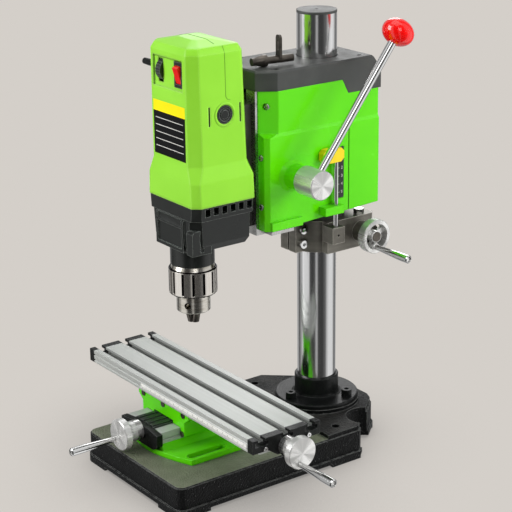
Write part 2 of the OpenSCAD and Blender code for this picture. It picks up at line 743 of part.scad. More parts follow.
module column_bracket() color(cast_iron) difference() {
    union() {
        translate([0, 0, bracket_bottom]) cylinder(h = bracket_h, r = barrel_r);
        translate([-ear_w / 2, -ear_front, bracket_bottom]) cube([ear_w, ear_front, bracket_h]);
        translate([0, 0, bracket_bottom]) linear_extrude(bracket_h) polygon([
            [-bracket_w / 2, -bracket_front], [bracket_w / 2, -bracket_front],
            [bracket_w / 2, bracket_rear - block_bevel], [bracket_w / 2 - block_bevel, bracket_rear],
            [-bracket_w / 2 + block_bevel, bracket_rear], [-bracket_w / 2, bracket_rear - block_bevel]]);
        rod_x(0, lift_boss_x, lift_boss_d / 2, lift_y, lift_z);
    }
    translate([0, 0, -over]) cylinder(h = reach, r = column_r + fit);
    translate([-ear_slit / 2, -ear_front - over, -over]) cube([ear_slit, ear_front, reach]);
    translate([-rack_w / 2 - gap, 0, -over]) cube([rack_w + 2 * gap, rack_tip_y + gap, reach]);
    rod_x(-lift_pinion_w / 2 - gap, lift_pinion_w + 2 * gap,
        lift_pitch_r + lift_module + gap, lift_y, lift_z);
    rod_x(-bracket_w / 2 + block_bevel, bracket_w + lift_boss_x, lift_shaft_d / 2 + fit, lift_y, lift_z);
    for (share = clamp_drops_shares) {
        rod_x(-bracket_w, 2 * bracket_w, clamp_screw_d / 2 + fit, -clamp_y, bracket_bottom + share * bracket_h);
        for (x = [-ear_w / 2 - bracket_w, ear_w / 2])
            rod_x(x, bracket_w, clamp_head_d / 2 + gap, -clamp_y, bracket_bottom + share * bracket_h);
    }
    for (s = [-1, 1]) translate([s * hex_x, hex_y, bracket_top - hex_head_d])
        cylinder(h = bracket_h, d = clamp_screw_d + fit);
}

clamp_y = (column_r + ear_front) / 2 + clamp_back;

// Clamp screws through the ears and hexagon bolts that hold the head on the bracket
module bracket_screws() color(steel) {
    for (share = clamp_drops_shares) difference() {
        union() {
            rod_x(-ear_w / 2 - clamp_head_h, ear_w + 2 * clamp_head_h - over, clamp_screw_d / 2,
                -clamp_y, bracket_bottom + share * bracket_h);
            rod_x(ear_w / 2, clamp_head_h, clamp_head_d / 2, -clamp_y, bracket_bottom + share * bracket_h);
            rod_x(-ear_w / 2 - clamp_head_h + over, clamp_head_h - over, clamp_head_d / 2,
                -clamp_y, bracket_bottom + share * bracket_h);
        }
        translate([ear_w / 2 + clamp_head_h / 2, -clamp_y, bracket_bottom + share * bracket_h])
            rotate([0, 90, 0]) cylinder(h = clamp_head_h, d = clamp_head_d / 2, $fn = 6);
    }
    for (s = [-1, 1]) translate([s * hex_x, hex_y, 0]) {
        translate([0, 0, bracket_top - hex_head_d + over]) cylinder(h = hex_head_d, d = clamp_screw_d);
        translate([0, 0, bracket_top]) cylinder(h = hex_head_h, d = hex_head_d, $fn = 6);
    }
}

// Silver block on the side of the bracket that guides the depth rod
depth_rod_d = 6.2;
depth_x = 54;
depth_y = 14;
block_w = 18;
block_rise = 18;
block_z = bracket_bottom + block_rise;
block_h = 20;
module depth_block() color(steel) difference() {
    translate([bracket_w / 2, -depth_y - block_w / 2, block_z])
        cube([depth_x - bracket_w / 2 + depth_rod_d, block_w, block_h]);
    translate([depth_x, -depth_y, 0]) cylinder(h = head_top, r = depth_rod_d / 2 + fit);
    rod_x(depth_x, depth_x, depth_rod_d / 4, -depth_y, block_z + block_h / 2);
}

// Lift wheel with a dished web of three spokes
lift_rim_t = 5;
lift_hub_d = 15;
lift_web_t = 4;
lift_web_in = 2;
spoke_w = 7;
crank_boss_d = 9.5;
lift_wheel_x = lift_boss_x + gap;
lift_face = lift_wheel_x + lift_wheel_t;
module lift_wheel() color(steel) at_lift_wheel() difference() {
    union() {
        translate([0, 0, lift_wheel_x]) rotate_extrude() polygon([
            [lift_wheel_d / 2 - lift_rim_t, 0], [lift_wheel_d / 2 - turn_bevel, 0],
            [lift_wheel_d / 2, turn_bevel], [lift_wheel_d / 2, lift_wheel_t - turn_bevel],
            [lift_wheel_d / 2 - turn_bevel, lift_wheel_t], [lift_wheel_d / 2 - lift_rim_t, lift_wheel_t]]);
        translate([0, 0, lift_wheel_x]) cylinder(h = lift_wheel_t - turn_bevel, d = lift_hub_d);
        for (a = [0, 120, 240]) rotate([0, 0, lift_crank_angle + a])
            translate([0, -spoke_w / 2, lift_wheel_x + lift_web_in])
                cube([lift_wheel_d / 2 - lift_rim_t / 2, spoke_w, lift_web_t]);
        at_crank(lift_crank_angle, crank_r, lift_wheel_x + lift_web_in)
            cylinder(h = lift_wheel_t - lift_web_in, d = crank_boss_d);
        at_crank(lift_crank_angle, crank_r, lift_face) crank_pin();
    }
    translate([0, 0, -over]) cylinder(h = lift_face + 2 * over, r = lift_shaft_d / 2 + fit / 2);
}
module lift_shaft() color(dark_steel) {
    rod_x(-bracket_w / 2 + block_bevel + gap, bracket_w / 2 - block_bevel - gap + lift_face, lift_shaft_d / 2, lift_y, lift_z);
    translate([0, lift_y, lift_z]) extrude_x(-lift_pinion_w / 2, lift_pinion_w)
        polygon(gear_points(lift_module, lift_teeth, 180));
}
module lift_crank_handle() color(steel) at_lift_wheel()
    at_crank(lift_crank_angle, crank_r, lift_face) crank_handle();

// Head casting: a barrel on the column with a cored box that carries the slideway in front
cast_w = 60;
cap_side = 23;
cast_top = head_top - cap_side;
cast_barrel_r = 34;
slide_w = 62;
slide_proud = 3;
slide_front = head_front + slide_proud;
slide_t = 14;
slide_back = slide_front - slide_t;
slide_drop = 1;
slide_bottom = bracket_top + slide_drop;
slide_foot_w = 84;
slide_foot_l = 33;
slide_foot_t = 4;
dovetail_w = 28;
dovetail_d = 8;
dovetail_flare = 4;
rack_slot_w = 20;
feed_pitch_r = feed_module * feed_teeth / 2;
feed_pitch_y = feed_back + feed_pitch_r;
feed_pinion_w = 16;
feed_pitch = PI * feed_module;
feed_rack_teeth = 14;
feed_rack_up = 4;
feed_rack_z = feed_z + feed_rack_up * feed_pitch;
feed_boss_d = 28;
boss_out = 23;
panel_out = 2;
panel_face = head_w / 2 + panel_out;
boss_x = panel_face + boss_out;
spring_r = 20;
spring_w = 10;
core_wall = 8;

module head_casting() color(charcoal) difference() {
    union() {
        translate([0, 0, bracket_top]) cylinder(h = cast_top - bracket_top, r = cast_barrel_r);
        translate([-cast_w / 2, -slide_back, head_bottom]) cube([cast_w, slide_back, cast_top - head_bottom]);
        rod_x(0, head_w / 2 - cover_wall - gap, feed_boss_d / 2, -feed_back, feed_z);
    }
    translate([0, 0, -over]) cylinder(h = 2 * reach, r = column_r + fit);
    translate([-rack_w / 2 - gap, 0, -over]) cube([rack_w + 2 * gap, rack_tip_y + gap, reach]);
    translate([-rack_slot_w / 2, -slide_back - over, -over])
        cube([rack_slot_w, over + slide_back - feed_back, reach]);
    rod_x(-rack_slot_w / 2, rack_slot_w, feed_pitch_r + feed_module + gap, -feed_back, feed_z);
    rod_x(-head_w, 2 * head_w, feed_shaft_d / 2 + fit, -feed_back, feed_z);
    rod_x(-head_w, head_w - cast_w / 2 + spring_w, spring_r, -feed_back, feed_z);
    // Cores above and below the shaft, behind the rack slot
    for (z = [head_bottom + core_wall, feed_z + feed_pitch_r + 2 * core_wall])
        translate([-cast_w / 2 + core_wall, -slide_back + 2 * core_wall, z])
            cube([cast_w - 2 * core_wall, slide_back - 2 * core_wall - barrel_r, 3 * core_wall]);
    // Window for the depth arm
    translate([0, -slide_back - over, arm_z - feed_stroke - gap])
        cube([cast_w, over + slide_back - arm_front + arm_l + gap, reach]);
}

module slideway() color(alloy) {
    translate([0, 0, slide_bottom]) linear_extrude(cast_top - slide_bottom) difference() {
        translate([-slide_w / 2, -slide_front]) square([slide_w, slide_t]);
        polygon(dovetail_points(fit, over));
        translate([-rack_slot_w / 2, -slide_front]) square([rack_slot_w, slide_t + over]);
    }
    difference() {
        translate([-slide_foot_w / 2, -slide_back, slide_bottom])
            cube([slide_foot_w, slide_foot_l, slide_foot_t]);
        translate([-rack_slot_w / 2, -slide_back - over, 0]) cube([rack_slot_w, slide_foot_l, reach]);
    }
}

// Dovetail outline in plan, grown by c, open towards the front
function dovetail_points(c, up) =
    let (h = dovetail_w / 2 + c, f = dovetail_flare, d = dovetail_d + c)
    [[-h, -slide_front - up], [h, -slide_front - up], [h, -slide_front], [h + f, -slide_front + d],
        [-h - f, -slide_front + d], [-h, -slide_front]];

// Side covers: plan outlines of the right one, outside and inside
cover_bottom_rise = 7.5;
cap_step = 17;
step_y0 = 2;
step_y1 = 11;
shoulder_z = 408;
shoulder_h = 4;
nose_cut_y = 92;
small_cut = 5;
seam = 0.2;

function cover_upper(i) = [[slide_w / 2 + seam, -head_front + i], [slide_w / 2 + gap, -head_front + i],
    [head_w / 2 - i, -nose_cut_y + i * 0.4], [head_w / 2 - i, head_rear - i], [seam, head_rear - i],
    [seam, -head_front + i]];
function cover_lower(i) = [[panel_face - small_cut - i / 2, -head_front + i],
    [panel_face - small_cut - i / 2, -head_front + i], [panel_face - i, -head_front + small_cut + i / 2],
    [panel_face - i, head_rear - i], [seam, head_rear - i], [seam, -head_front + i]];

module cover_shell() difference() {
    intersection() {
        loft([at_height(cover_lower(0), head_bottom - over), at_height(cover_lower(0), shoulder_z),
            at_height(cover_upper(0), shoulder_z + shoulder_h), at_height(cover_upper(0), head_top)]);
        extrude_x(0, head_w) polygon([[-head_front - over, head_bottom],
            [head_rear + over, head_bottom + cover_bottom_rise], [head_rear + over, head_top - cap_side - cap_step],
            [step_y1, head_top - cap_side - cap_step], [step_y0, head_top - cap_side],
            [-head_front - over, head_top - cap_side]]);
    }
    translate([0, 0, head_bottom - over]) linear_extrude(head_top) polygon([
        [-over, -head_front + cover_wall], [slide_w / 2, -head_front + cover_wall],
        [head_w / 2 - cover_wall, -nose_cut_y + cover_wall * 0.4],
        [head_w / 2 - cover_wall, head_rear - cover_wall], [-over, head_rear - cover_wall]]);
    translate([-over, -2 * head_front, 0]) cube([slide_w / 2 + seam + over, head_front * 1.5, reach]);
}

ledge_out = 3.5;
ledge_l = 45;
ledge_h = 10;
lug_w = 28;
lug_h = 10;
lug_z = head_bottom + cover_bottom_rise;
lug_y = 20;
seam_y = 10;
groove_d = 1.2;
pin_slot_w = 6;
pin_y = 29;
pin_z = 375;
arm_z = feed_rack_z + feed_rack_teeth / 2 * feed_pitch;
arm_h = 6;
arm_t = 5;
arm_x = 34;
arm_front = 96;
arm_l = 8;
boss_flare = 5;
boss_flare_h = 4;
boss_grow = 1;

module right_cover() color(green) difference() {
    union() {
        cover_shell();
        translate([panel_face - cover_wall, -feed_back, feed_z]) rotate([0, 90, 0])
            rotate_extrude() polygon([[0, 0], [feed_boss_d / 2 + boss_flare, 0],
                [feed_boss_d / 2 + boss_flare, cover_wall], [feed_boss_d / 2 + boss_grow, cover_wall + boss_flare_h],
                [feed_boss_d / 2 + boss_grow, cover_wall + boss_out - boss_grow],
                [feed_boss_d / 2, cover_wall + boss_out], [0, cover_wall + boss_out]]);
        translate([panel_face - over, -lug_y - lug_w / 2, lug_z])
            cube([depth_x + depth_rod_d - panel_face + over, lug_w, lug_h]);
        translate([panel_face - over, -head_front + small_cut, head_bottom + over])
            cube([ledge_out + over, ledge_l, ledge_h]);
    }
    rod_x(0, boss_x + over, feed_shaft_d / 2 + fit, -feed_back, feed_z);
    translate([depth_x, -depth_y, 0]) cylinder(h = head_top, r = depth_rod_d / 2 + fit);
    translate([0, -pin_y - pin_slot_w / 2, pin_z - feed_stroke - pin_slot_w / 2])
        cube([head_w, pin_slot_w, feed_stroke + pin_slot_w]);
    translate([panel_face - groove_d, seam_y, 0]) cube([groove_d + over, groove_d, shoulder_z]);
    cover_screw_places(1) screw_recess();
}

module left_cover() color(green) difference() {
    mirror([1, 0, 0]) cover_shell();
    cover_screw_places(-1) screw_recess();
    translate([-panel_face - over, seam_y, 0]) cube([groove_d + over, groove_d, shoulder_z]);
}

cover_screw_x = 38;
cover_screw_zs = [325, 384, 443];
cover_screw_head_d = 7.6;
cover_screw_head_h = 2.6;
top_screw_in = 9;
cover_screw_d = 3;
// Places of the three cover screws of one side, their axes along +Y
module cover_screw_places(s) {
    for (z = cover_screw_zs) translate([s * cover_screw_x, -head_front + (z > shoulder_z ? top_screw_in : 0), z])
        rotate([-90, 0, 0]) children();
}

// Clearance hole with a spot face in front of it
module screw_recess() {
    cylinder(h = head_front, d = cover_screw_d + fit);
    translate([0, 0, -2 * top_screw_in]) cylinder(h = 2 * top_screw_in, d = cover_screw_head_d + gap);
}

module cover_screws() color(steel) for (s = [-1, 1]) cover_screw_places(s) {
    translate([0, 0, -cover_screw_head_h]) cylinder(h = cover_screw_head_h, d = cover_screw_head_d);
    translate([0, 0, -over]) cylinder(h = 2 * cover_wall, d = cover_screw_d);
}

// Head cap with a bevelled rim, a bevelled rear and a side step
cap_behind = 4;
cap_rear = head_rear + cap_behind;
cap_bevel = 2;
cap_rear_bevel = 13;
cap_rear_drop = 18;
cap_hole_gap = 0.6;
cap_screw_d = 6;
cap_screw_x = 35;
cap_screw_ys = [-88, 36];

function cap_points(i) = both_sides([[slide_w / 2 - i / 2, -slide_front + i],
    [head_w / 2 - i, -nose_cut_y - over + i / 2], [head_w / 2 - i, cap_rear - i]]);

module head_cap() color(charcoal) difference() {
    intersection() {
        loft([at_height(cap_points(0), head_top - cap_side - cap_step - over),
            at_height(cap_points(0), head_top - cap_bevel), at_height(cap_points(cap_bevel), head_top)]);
        extrude_x(-head_w, 2 * head_w) polygon([[-slide_front - over, head_top - cap_side],
            [step_y0, head_top - cap_side], [step_y1, head_top - cap_side - cap_step],
            [cap_rear + over, head_top - cap_side - cap_step], [cap_rear + over, head_top - cap_rear_drop],
            [cap_rear - cap_rear_bevel, head_top], [-slide_front - over, head_top]]);
    }
    intersection() {
        linear_extrude(head_top - cover_wall) polygon(cap_points(cover_wall));
        extrude_x(-head_w, 2 * head_w) polygon([[-slide_front - over, head_bottom],
            [cap_rear - cover_wall, head_bottom], [cap_rear - cover_wall, head_top - cap_rear_drop - over],
            [cap_rear - cap_rear_bevel - over, head_top], [-slide_front - over, head_top]]);
    }
    cylinder(h = reach, r = column_r + cap_hole_gap);
    for (s = [-1, 1], y = cap_screw_ys) translate([s * cap_screw_x, y, head_top - cover_wall - over])
        cylinder(h = head_top, d = cap_screw_d);
}

// Feed shaft, hub, lever and knob, with the lever standing along +Z of its own frame
hub_x = boss_x + gap;
lever_x = hub_x + hub_l / 2;
shaft_out = 2;
module at_feed() translate([lever_x, -feed_back, feed_z]) rotate([-lever_tilt, 0, 0]) children();

module feed_shaft() color(dark_steel) {
    rod_x(-cast_w / 2 - shaft_out, cast_w / 2 + shaft_out + hub_x + hub_l / 2 + lever_d,
        feed_shaft_d / 2, -feed_back, feed_z);
    translate([0, -feed_back, feed_z]) extrude_x(-feed_pinion_w / 2, feed_pinion_w)
        polygon(gear_points(feed_module, feed_teeth, 180));
}

module feed_hub() color(steel) difference() {
    translate([hub_x, -feed_back, feed_z]) rotate([0, 90, 0]) rotate_extrude() polygon([[0, 0],
        [hub_d / 2 - over, 0], [hub_d / 2, over], [hub_d / 2, hub_l - over], [hub_d / 2 - over, hub_l], [0, hub_l]]);
    rod_x(0, hub_x + hub_l / 2 + lever_d, feed_shaft_d / 2 + fit / 2, -feed_back, feed_z);
    at_feed() cylinder(h = hub_d, d = lever_d + fit);
}

module feed_lever() color(steel) at_feed()
    translate([0, 0, feed_shaft_d / 2 + gap]) cylinder(h = lever_l - feed_shaft_d / 2 - gap, d = lever_d);

module lever_knob() color(red) at_feed() difference() {
    translate([0, 0, lever_l]) rotate_extrude() polygon([for (p = arc([0, 0], 1, -90, 90, 18))
        [max(0, p[0]) * knob_d / 2, p[1] * knob_l / 2]]);
    cylinder(h = lever_l, d = lever_d + fit);
}

// Flat return spring in its pocket on the left of the casting
spring_turns = 4;
spring_strip = 0.8;
spring_steps = 16;
function spiral(r0, r1, grow) = [for (i = [0 : spring_turns * spring_steps])
    let (t = i / (spring_turns * spring_steps), r = r0 + (r1 - r0) * t + grow, a = t * spring_turns * 360)
    [r * cos(a), r * sin(a)]];
module return_spring() color(dark_steel) translate([0, -feed_back, feed_z])
    extrude_x(-cast_w / 2 + gap, spring_w - 2 * gap) polygon(concat(
        spiral(feed_shaft_d / 2 + gap, spring_r - spring_strip - fit, spring_strip),
        [for (i = [spring_turns * spring_steps : -1 : 0])
            spiral(feed_shaft_d / 2 + gap, spring_r - spring_strip - fit, 0)[i]]));

// Motor carriage on its dovetail, with the feed rack behind it
spindle_y = -throat;
carriage_w = 48;
carriage_bottom = 300;
carriage_top = arm_z;
carriage_front = 132;
carriage_face = slide_front + gap;
motor_rear = 127;
band_rear = 128.5;

module motor_carriage() color(black) {
    extrude_x(-carriage_w / 2, carriage_w) polygon([[-carriage_face, carriage_bottom],
        [-carriage_front + seam, carriage_bottom], [-carriage_front + seam, band_z - seam],
        [-band_rear + seam, band_z - seam], [-band_rear + seam, motor_z], [-motor_rear + seam, motor_z],
        for (k = [1 : 2]) [ring_y(shell_shares[k], rear_side) + seam, motor_z + motor_h * shell_shares[k][0]],
        [ring_y(shell_shares[2], rear_side) + seam, carriage_top], [-carriage_face, carriage_top]]);
    translate([0, 0, carriage_bottom]) linear_extrude(carriage_top - carriage_bottom)
        polygon(dovetail_points(0, gap));
}

module feed_rack() color(dark_steel) extrude_x(-feed_pinion_w / 2, feed_pinion_w)
    polygon([for (p = rack_points(feed_module, feed_rack_teeth, slide_front - dovetail_d - feed_pitch_y))
        [-feed_pitch_y - p[0], feed_rack_z + p[1]]]);

// Depth pointer on its arm: the arm leaves the top of the rack, passes beside the casting
// and drops behind the feed shaft to a pin in the slot of the right cover
module depth_arm() color(dark_steel) {
    translate([-feed_pinion_w / 2, -slide_front + dovetail_d, arm_z])
        cube([feed_pinion_w, slide_front - dovetail_d - arm_front + arm_l, arm_h]);
    translate([0, -arm_front, arm_z]) cube([arm_x + arm_t, arm_l, arm_h]);
    translate([arm_x, -arm_front, arm_z]) cube([arm_t, arm_front - pin_y + arm_t, arm_h]);
    translate([arm_x, -pin_y - arm_t, pin_z - arm_t]) cube([arm_t, 2 * arm_t, arm_z - pin_z + arm_t + arm_h]);
    rod_x(arm_x, panel_face - arm_x + 2 * arm_t, pin_slot_w / 2 - gap, -pin_y, pin_z);
}

pointer_w = 31;
pointer_h = 17;
pointer_t = 9;
pointer_over = 6;
module depth_pointer() color(yellow) difference() {
    translate([panel_face + gap, -pin_y - pointer_over, pin_z - pointer_h / 2]) extrude_x(0, pointer_t)
        polygon([[0, pointer_h / 4], [pointer_h / 4, 0], [pointer_w - pointer_h / 4, 0], [pointer_w, pointer_h / 4],
            [pointer_w, pointer_h * 3 / 4], [pointer_w - pointer_h / 4, pointer_h],
            [pointer_h / 4, pointer_h], [0, pointer_h * 3 / 4]]);
    translate([depth_x, -depth_y, 0]) cylinder(h = head_top, r = depth_rod_d / 2 + fit / 2);
    rod_x(0, panel_face + 2 * arm_t + fit, pin_slot_w / 2 - gap + fit / 2, -pin_y, pin_z);
}
module depth_rod() color(steel) translate([depth_x, -depth_y, block_z - over])
    cylinder(h = pin_z - block_z + pointer_h / 2 + over * 2, d = depth_rod_d);

// Motor shell and gearbox as rings of eight points. Each row holds a height, then three
// half widths (front, sides, rear), then four places behind the front plane
motor_side = motor_w / 2;
armature_y = -throat + gear_module * (spindle_teeth + armature_teeth) / 2;
face_y = throat + motor_front;
shell_shares = [
    [0, 0.966, 1.124, 1.034, -0.029, 0.1, 1.136, 1.193],
    [0.152, 0.933, 1.112, 1.022, -0.029, 0.086, 1.136, 1.179],
    [0.25, 0.775, 1.022, 0.933, 0, 0.186, 1.029, 1.086],
    [0.935, 0.775, 1, 0.91, 0, 0.157, 0.971, 1.029],
    [0.973, 0.708, 0.91, 0.82, 0.05, 0.186, 0.943, 0.986],
    [1, 0.28, 0.416, 0.326, 0.343, 0.4, 0.643, 0.686]];
box_shares = [
    [0, 0.685, 0.955, 0.865, 0.029, 0.2, 1.021, 1.064],
    [0.132, 0.753, 1.022, 0.933, -0.014, 0.157, 1.079, 1.121],
    [0.698, 0.82, 1.056, 0.966, -0.014, 0.129, 1.079, 1.121]];
band_shares = [
    [0.698, 0.91, 1.09, 1, -0.021, 0.114, 1.121, 1.171],
    [1, 0.944, 1.101, 1.011, -0.021, 0.114, 1.121, 1.171]];
rear_side = 7;
function ring_y(row, k) = -face_y + motor_depth * row[k];
// One ring, drawn in by i
function ring(row, z, i = 0) = at_height(both_sides([
    [motor_side * row[1] - i / 2, ring_y(row, 4) + i], [motor_side * row[2] - i, ring_y(row, 5) + i / 2],
    [motor_side * row[2] - i, ring_y(row, 6) - i / 2], [motor_side * row[3] - i / 2, ring_y(row, rear_side) - i]]), z);

recess_d = 2;
recess_x0 = -30.5;
recess_x1 = 28;
recess_z0 = 473;
recess_z1 = 508;
switch_x = 19;
switch_w = 15;
switch_z = 491.5;
switch_h = 29;
dial_x = -17;
dial_w = 9;
dial_wheel_d = 26;
dial_in = 10;
dial_wheel_y = face_y - dial_in;
brush_z = 445.2;
brush_cap_d = 20;
brush_slot_w = 2;
brush_slot_h = 22;
brush_slot_y = 21;
stator_z = 374;
stator_h = 46;
stator_d = 52;
stator_bore = 38;
winding_out = 8;
winding_in = 6;
web_z = 466;
web_t = 10;
armature_shaft_d = 7;
armature_neck_d = 5;

module motor_shell() color(lime) difference() {
    loft([for (row = shell_shares) ring(row, motor_z + motor_h * row[0])]);
    difference() {
        loft([for (k = [0 : 3]) ring(shell_shares[k], motor_z + motor_h * shell_shares[k][0]
            - (k == 0 ? over : k == 3 ? motor_wall : 0), motor_wall)]);
        // Ribs that hold the field, and the web that holds the upper bearing
        for (y = [-stator_d / 4, stator_d / 4]) translate([-motor_w, armature_y + y - motor_wall / 2, stator_z])
            cube([2 * motor_w, motor_wall, stator_h]);
        translate([-motor_w, -2 * throat, web_z]) cube([2 * motor_w, 2 * throat, web_t]);
    }
    translate([0, armature_y, stator_z - over]) cylinder(h = stator_h + 2 * over, d = stator_d + fit);
    translate([0, armature_y, web_z - over]) cylinder(h = web_t + 2 * over, d = bearing_small_d + fit);
    translate([recess_x0, -face_y - over, recess_z0])
        cube([recess_x1 - recess_x0, recess_d + over, recess_z1 - recess_z0]);
    translate([switch_x - switch_w / 2 + over, -face_y - over, switch_z - switch_h / 2 + over])
        cube([switch_w - 2 * over, 3 * motor_wall, switch_h - 2 * over]);
    translate([dial_x - dial_w / 2 - gap, -face_y - over, switch_z - dial_wheel_d / 2 - gap])
        cube([dial_w + 2 * gap, 3 * motor_wall, dial_wheel_d + 2 * gap]);
    rod_x(-motor_w, 2 * motor_w, brush_cap_d / 2 + fit, armature_y, brush_z);
    for (s = [-1, 1], y = [-brush_slot_y, brush_slot_y])
        translate([s * motor_side - motor_wall / 2, armature_y + y - brush_slot_w / 2, brush_z - brush_slot_h / 2])
            cube([motor_wall, brush_slot_w, brush_slot_h]);
    rod_x(-motor_w, motor_w / 2 + 2 * motor_wall, gland_d / 2, -gland_y, gland_z);
    rod_x(-motor_w, motor_w - motor_side, gland_d / 2 + gland_lip + gap, -gland_y, gland_z);
}

// Gearbox housing with vents, gear chambers and the spindle collar
gearbox_z = motor_z - gearbox_h;
collar_z = gearbox_z - collar_h;
band_z = gearbox_z + gearbox_h * band_shares[0][0];
gear_rise = 13;
gear_z = gearbox_z + gear_rise;
gear_h = 14;
gear_r = gear_module * spindle_teeth / 2;
bearing_d = 32;
bearing_high_d = 26;
bearing_h = 10;
bearing_small_d = 17;
bearing_small_h = 6;
bearing_seat = 2;
bearing_low_z = collar_z + bearing_seat;
bearing_high_z = gear_z + gear_h + bearing_seat;
armature_rise = 5;
armature_low_z = gearbox_z + armature_rise;
fan_d = 46;
fan_h = 9;
fan_drop = 11;
fan_z = motor_z - fan_drop;
vent_count = 6;
vent_pitch = 11.5;
vent_w = 7;
vent_h = 9;
vent_top = 2;
vent_rear = 140;

panel_x = -2;
panel_w = 56;
panel_h = 40;
panel_low = 3;
front_out = 3;
pocket_frame = 4;
pocket_d = 1.5;
scoop_r = 12;
pillar_x = 33;
pillar_w = 12;
pillar_l = 26;
pillar_h = 29;
pillar_bevel = 3;
pillar_slot_w = 5;
rear_slot_y = 132;
rear_slot_w = 6;
rear_slot_h = 23;
rear_slot_rise = 5;

// Framed panel on the front of the gearbox, with a shallow pocket and a scoop above it
module front_panel() translate([panel_x - panel_w / 2, -face_y - front_out, gearbox_z - panel_low]) difference() {
    extrude_x(0, panel_w) polygon([[0, 0], [3 * front_out, 0], [3 * front_out, panel_h],
        [front_out, panel_h], [0, panel_h - front_out]]);
    translate([pocket_frame, -over, pocket_frame])
        cube([panel_w - 2 * pocket_frame, pocket_d + over, panel_h - 4 * pocket_frame]);
    translate([0, -scoop_r + pocket_d, panel_h - pocket_frame])
        rod_x(pocket_frame, panel_w - 2 * pocket_frame, scoop_r, 0, 0);
}

// Corner pillar beside the panel, slotted on its outer side
module corner_pillar() translate([pillar_x, -face_y - front_out, gearbox_z - panel_low]) difference() {
    extrude_x(0, pillar_w) polygon([[0, 0], [pillar_l, 0], [pillar_l, pillar_h],
        [pillar_bevel, pillar_h], [0, pillar_h - pillar_bevel]]);
    translate([pillar_w - pocket_d, pillar_l / 2 - pillar_slot_w / 2, pillar_bevel])
        cube([pocket_d + over, pillar_slot_w, pillar_h - 2 * pillar_bevel]);
}

module gearbox_housing() color(black) difference() {
    union() {
        for (rows = [box_shares, band_shares])
            loft([for (row = rows) ring(row, gearbox_z + gearbox_h * row[0])]);
        translate([0, spindle_y, collar_z]) cylinder(h = collar_h + over, d = collar_d);
        front_panel();
        corner_pillar();
    }
    translate([0, -rear_slot_y, gearbox_z + rear_slot_rise]) cube([motor_w, rear_slot_w, rear_slot_h]);
    translate([0, spindle_y, gear_z - gap]) cylinder(h = gear_h + 2 * gap, r = gear_r + gear_module + gap);
    translate([0, armature_y, gear_z - gap])
        cylinder(h = gear_h + 2 * gap, r = gear_module * (armature_teeth / 2 + 1) + gap);
    translate([0, spindle_y, collar_z - over])
        cylinder(h = gear_z - collar_z + 2 * over, r = spindle_d / 2 + gap);
    translate([0, spindle_y, bearing_low_z]) cylinder(h = bearing_h, d = bearing_d + fit);
    translate([0, spindle_y, gear_z]) cylinder(h = bearing_high_z - gear_z + bearing_h, d = bearing_high_d + fit);
    translate([0, armature_y, armature_low_z]) cylinder(h = motor_z, r = armature_shaft_d / 2 + gap);
    translate([0, armature_y, armature_low_z]) cylinder(h = bearing_small_h, d = bearing_small_d + fit);
    translate([0, armature_y, fan_z - gap]) cylinder(h = motor_z, r = fan_d / 2 + 2 * gap);
    for (i = [0 : vent_count - 1])
        translate([-motor_w, -vent_rear - i * vent_pitch, motor_z - vent_h - vent_top])
            cube([2 * motor_w, vent_w, vent_h]);
}

module ring_part(y, z, d, bore, h) translate([0, y, z]) difference() {
    cylinder(h = h, d = d);
    translate([0, 0, -over]) cylinder(h = h + 2 * over, d = bore);
}

module bearings() color(steel) {
    ring_part(spindle_y, bearing_low_z, bearing_d, spindle_d + 2 * fit, bearing_h);
    ring_part(spindle_y, bearing_high_z, bearing_high_d, spindle_d + 2 * fit, bearing_h);
    ring_part(armature_y, armature_low_z, bearing_small_d, armature_shaft_d + 2 * fit, bearing_small_h);
    ring_part(armature_y, web_z, bearing_small_d, armature_shaft_d + 2 * fit, bearing_small_h);
}

module stator() color(copper) difference() {
    union() {
        translate([0, armature_y, stator_z]) cylinder(h = stator_h, d = stator_d);
        translate([0, armature_y, stator_z - winding_out])
            cylinder(h = stator_h + 2 * winding_out, d = stator_d - winding_in);
    }
    translate([0, armature_y, 0]) cylinder(h = head_top, d = stator_bore);
}

air_gap = 0.6;
core_d = stator_bore - 2 * air_gap;
commutator_d = 22;
module armature() color(dark_steel) {
    translate([0, armature_y, armature_low_z]) {
        cylinder(h = gear_z - armature_low_z, d = armature_shaft_d);
        cylinder(h = web_z - armature_low_z, d = armature_neck_d);
    }
    translate([0, armature_y, gear_z + gear_h])
        cylinder(h = web_z + web_t - gear_z - gear_h, d = armature_shaft_d);
    translate([0, armature_y, gear_z]) linear_extrude(gear_h)
        polygon(gear_points(gear_module, armature_teeth, -90 + 180 / armature_teeth));
    translate([0, armature_y, fan_z]) cylinder(h = fan_h, d = fan_d);
    translate([0, armature_y, stator_z]) cylinder(h = stator_h, d = core_d);
    translate([0, armature_y, brush_z - commutator_d / 3]) cylinder(h = commutator_d * 2 / 3, d = commutator_d);
}

brush_w = 6;
brush_cap_out = 1;
brush_rim = 2.5;
module brush_caps() color(black) for (s = [-1, 1]) translate([0, armature_y, brush_z]) rotate([0, s * 90, 0]) {
    translate([0, 0, commutator_d / 2 + gap]) cylinder(h = motor_side - commutator_d / 2, d = brush_w);
    translate([0, 0, motor_side - 4 * motor_wall]) cylinder(h = 4 * motor_wall, d = brush_cap_d / 2);
    translate([0, 0, motor_side - motor_wall]) difference() {
        cylinder(h = motor_wall + brush_cap_out, d = brush_cap_d);
        translate([0, 0, motor_wall]) difference() {
            cylinder(h = motor_wall, r = brush_cap_d / 2 - brush_rim);
            translate([0, 0, -over]) cylinder(h = motor_wall + 2 * over, r = brush_cap_d / 2 - 2 * brush_rim);
        }
    }
}

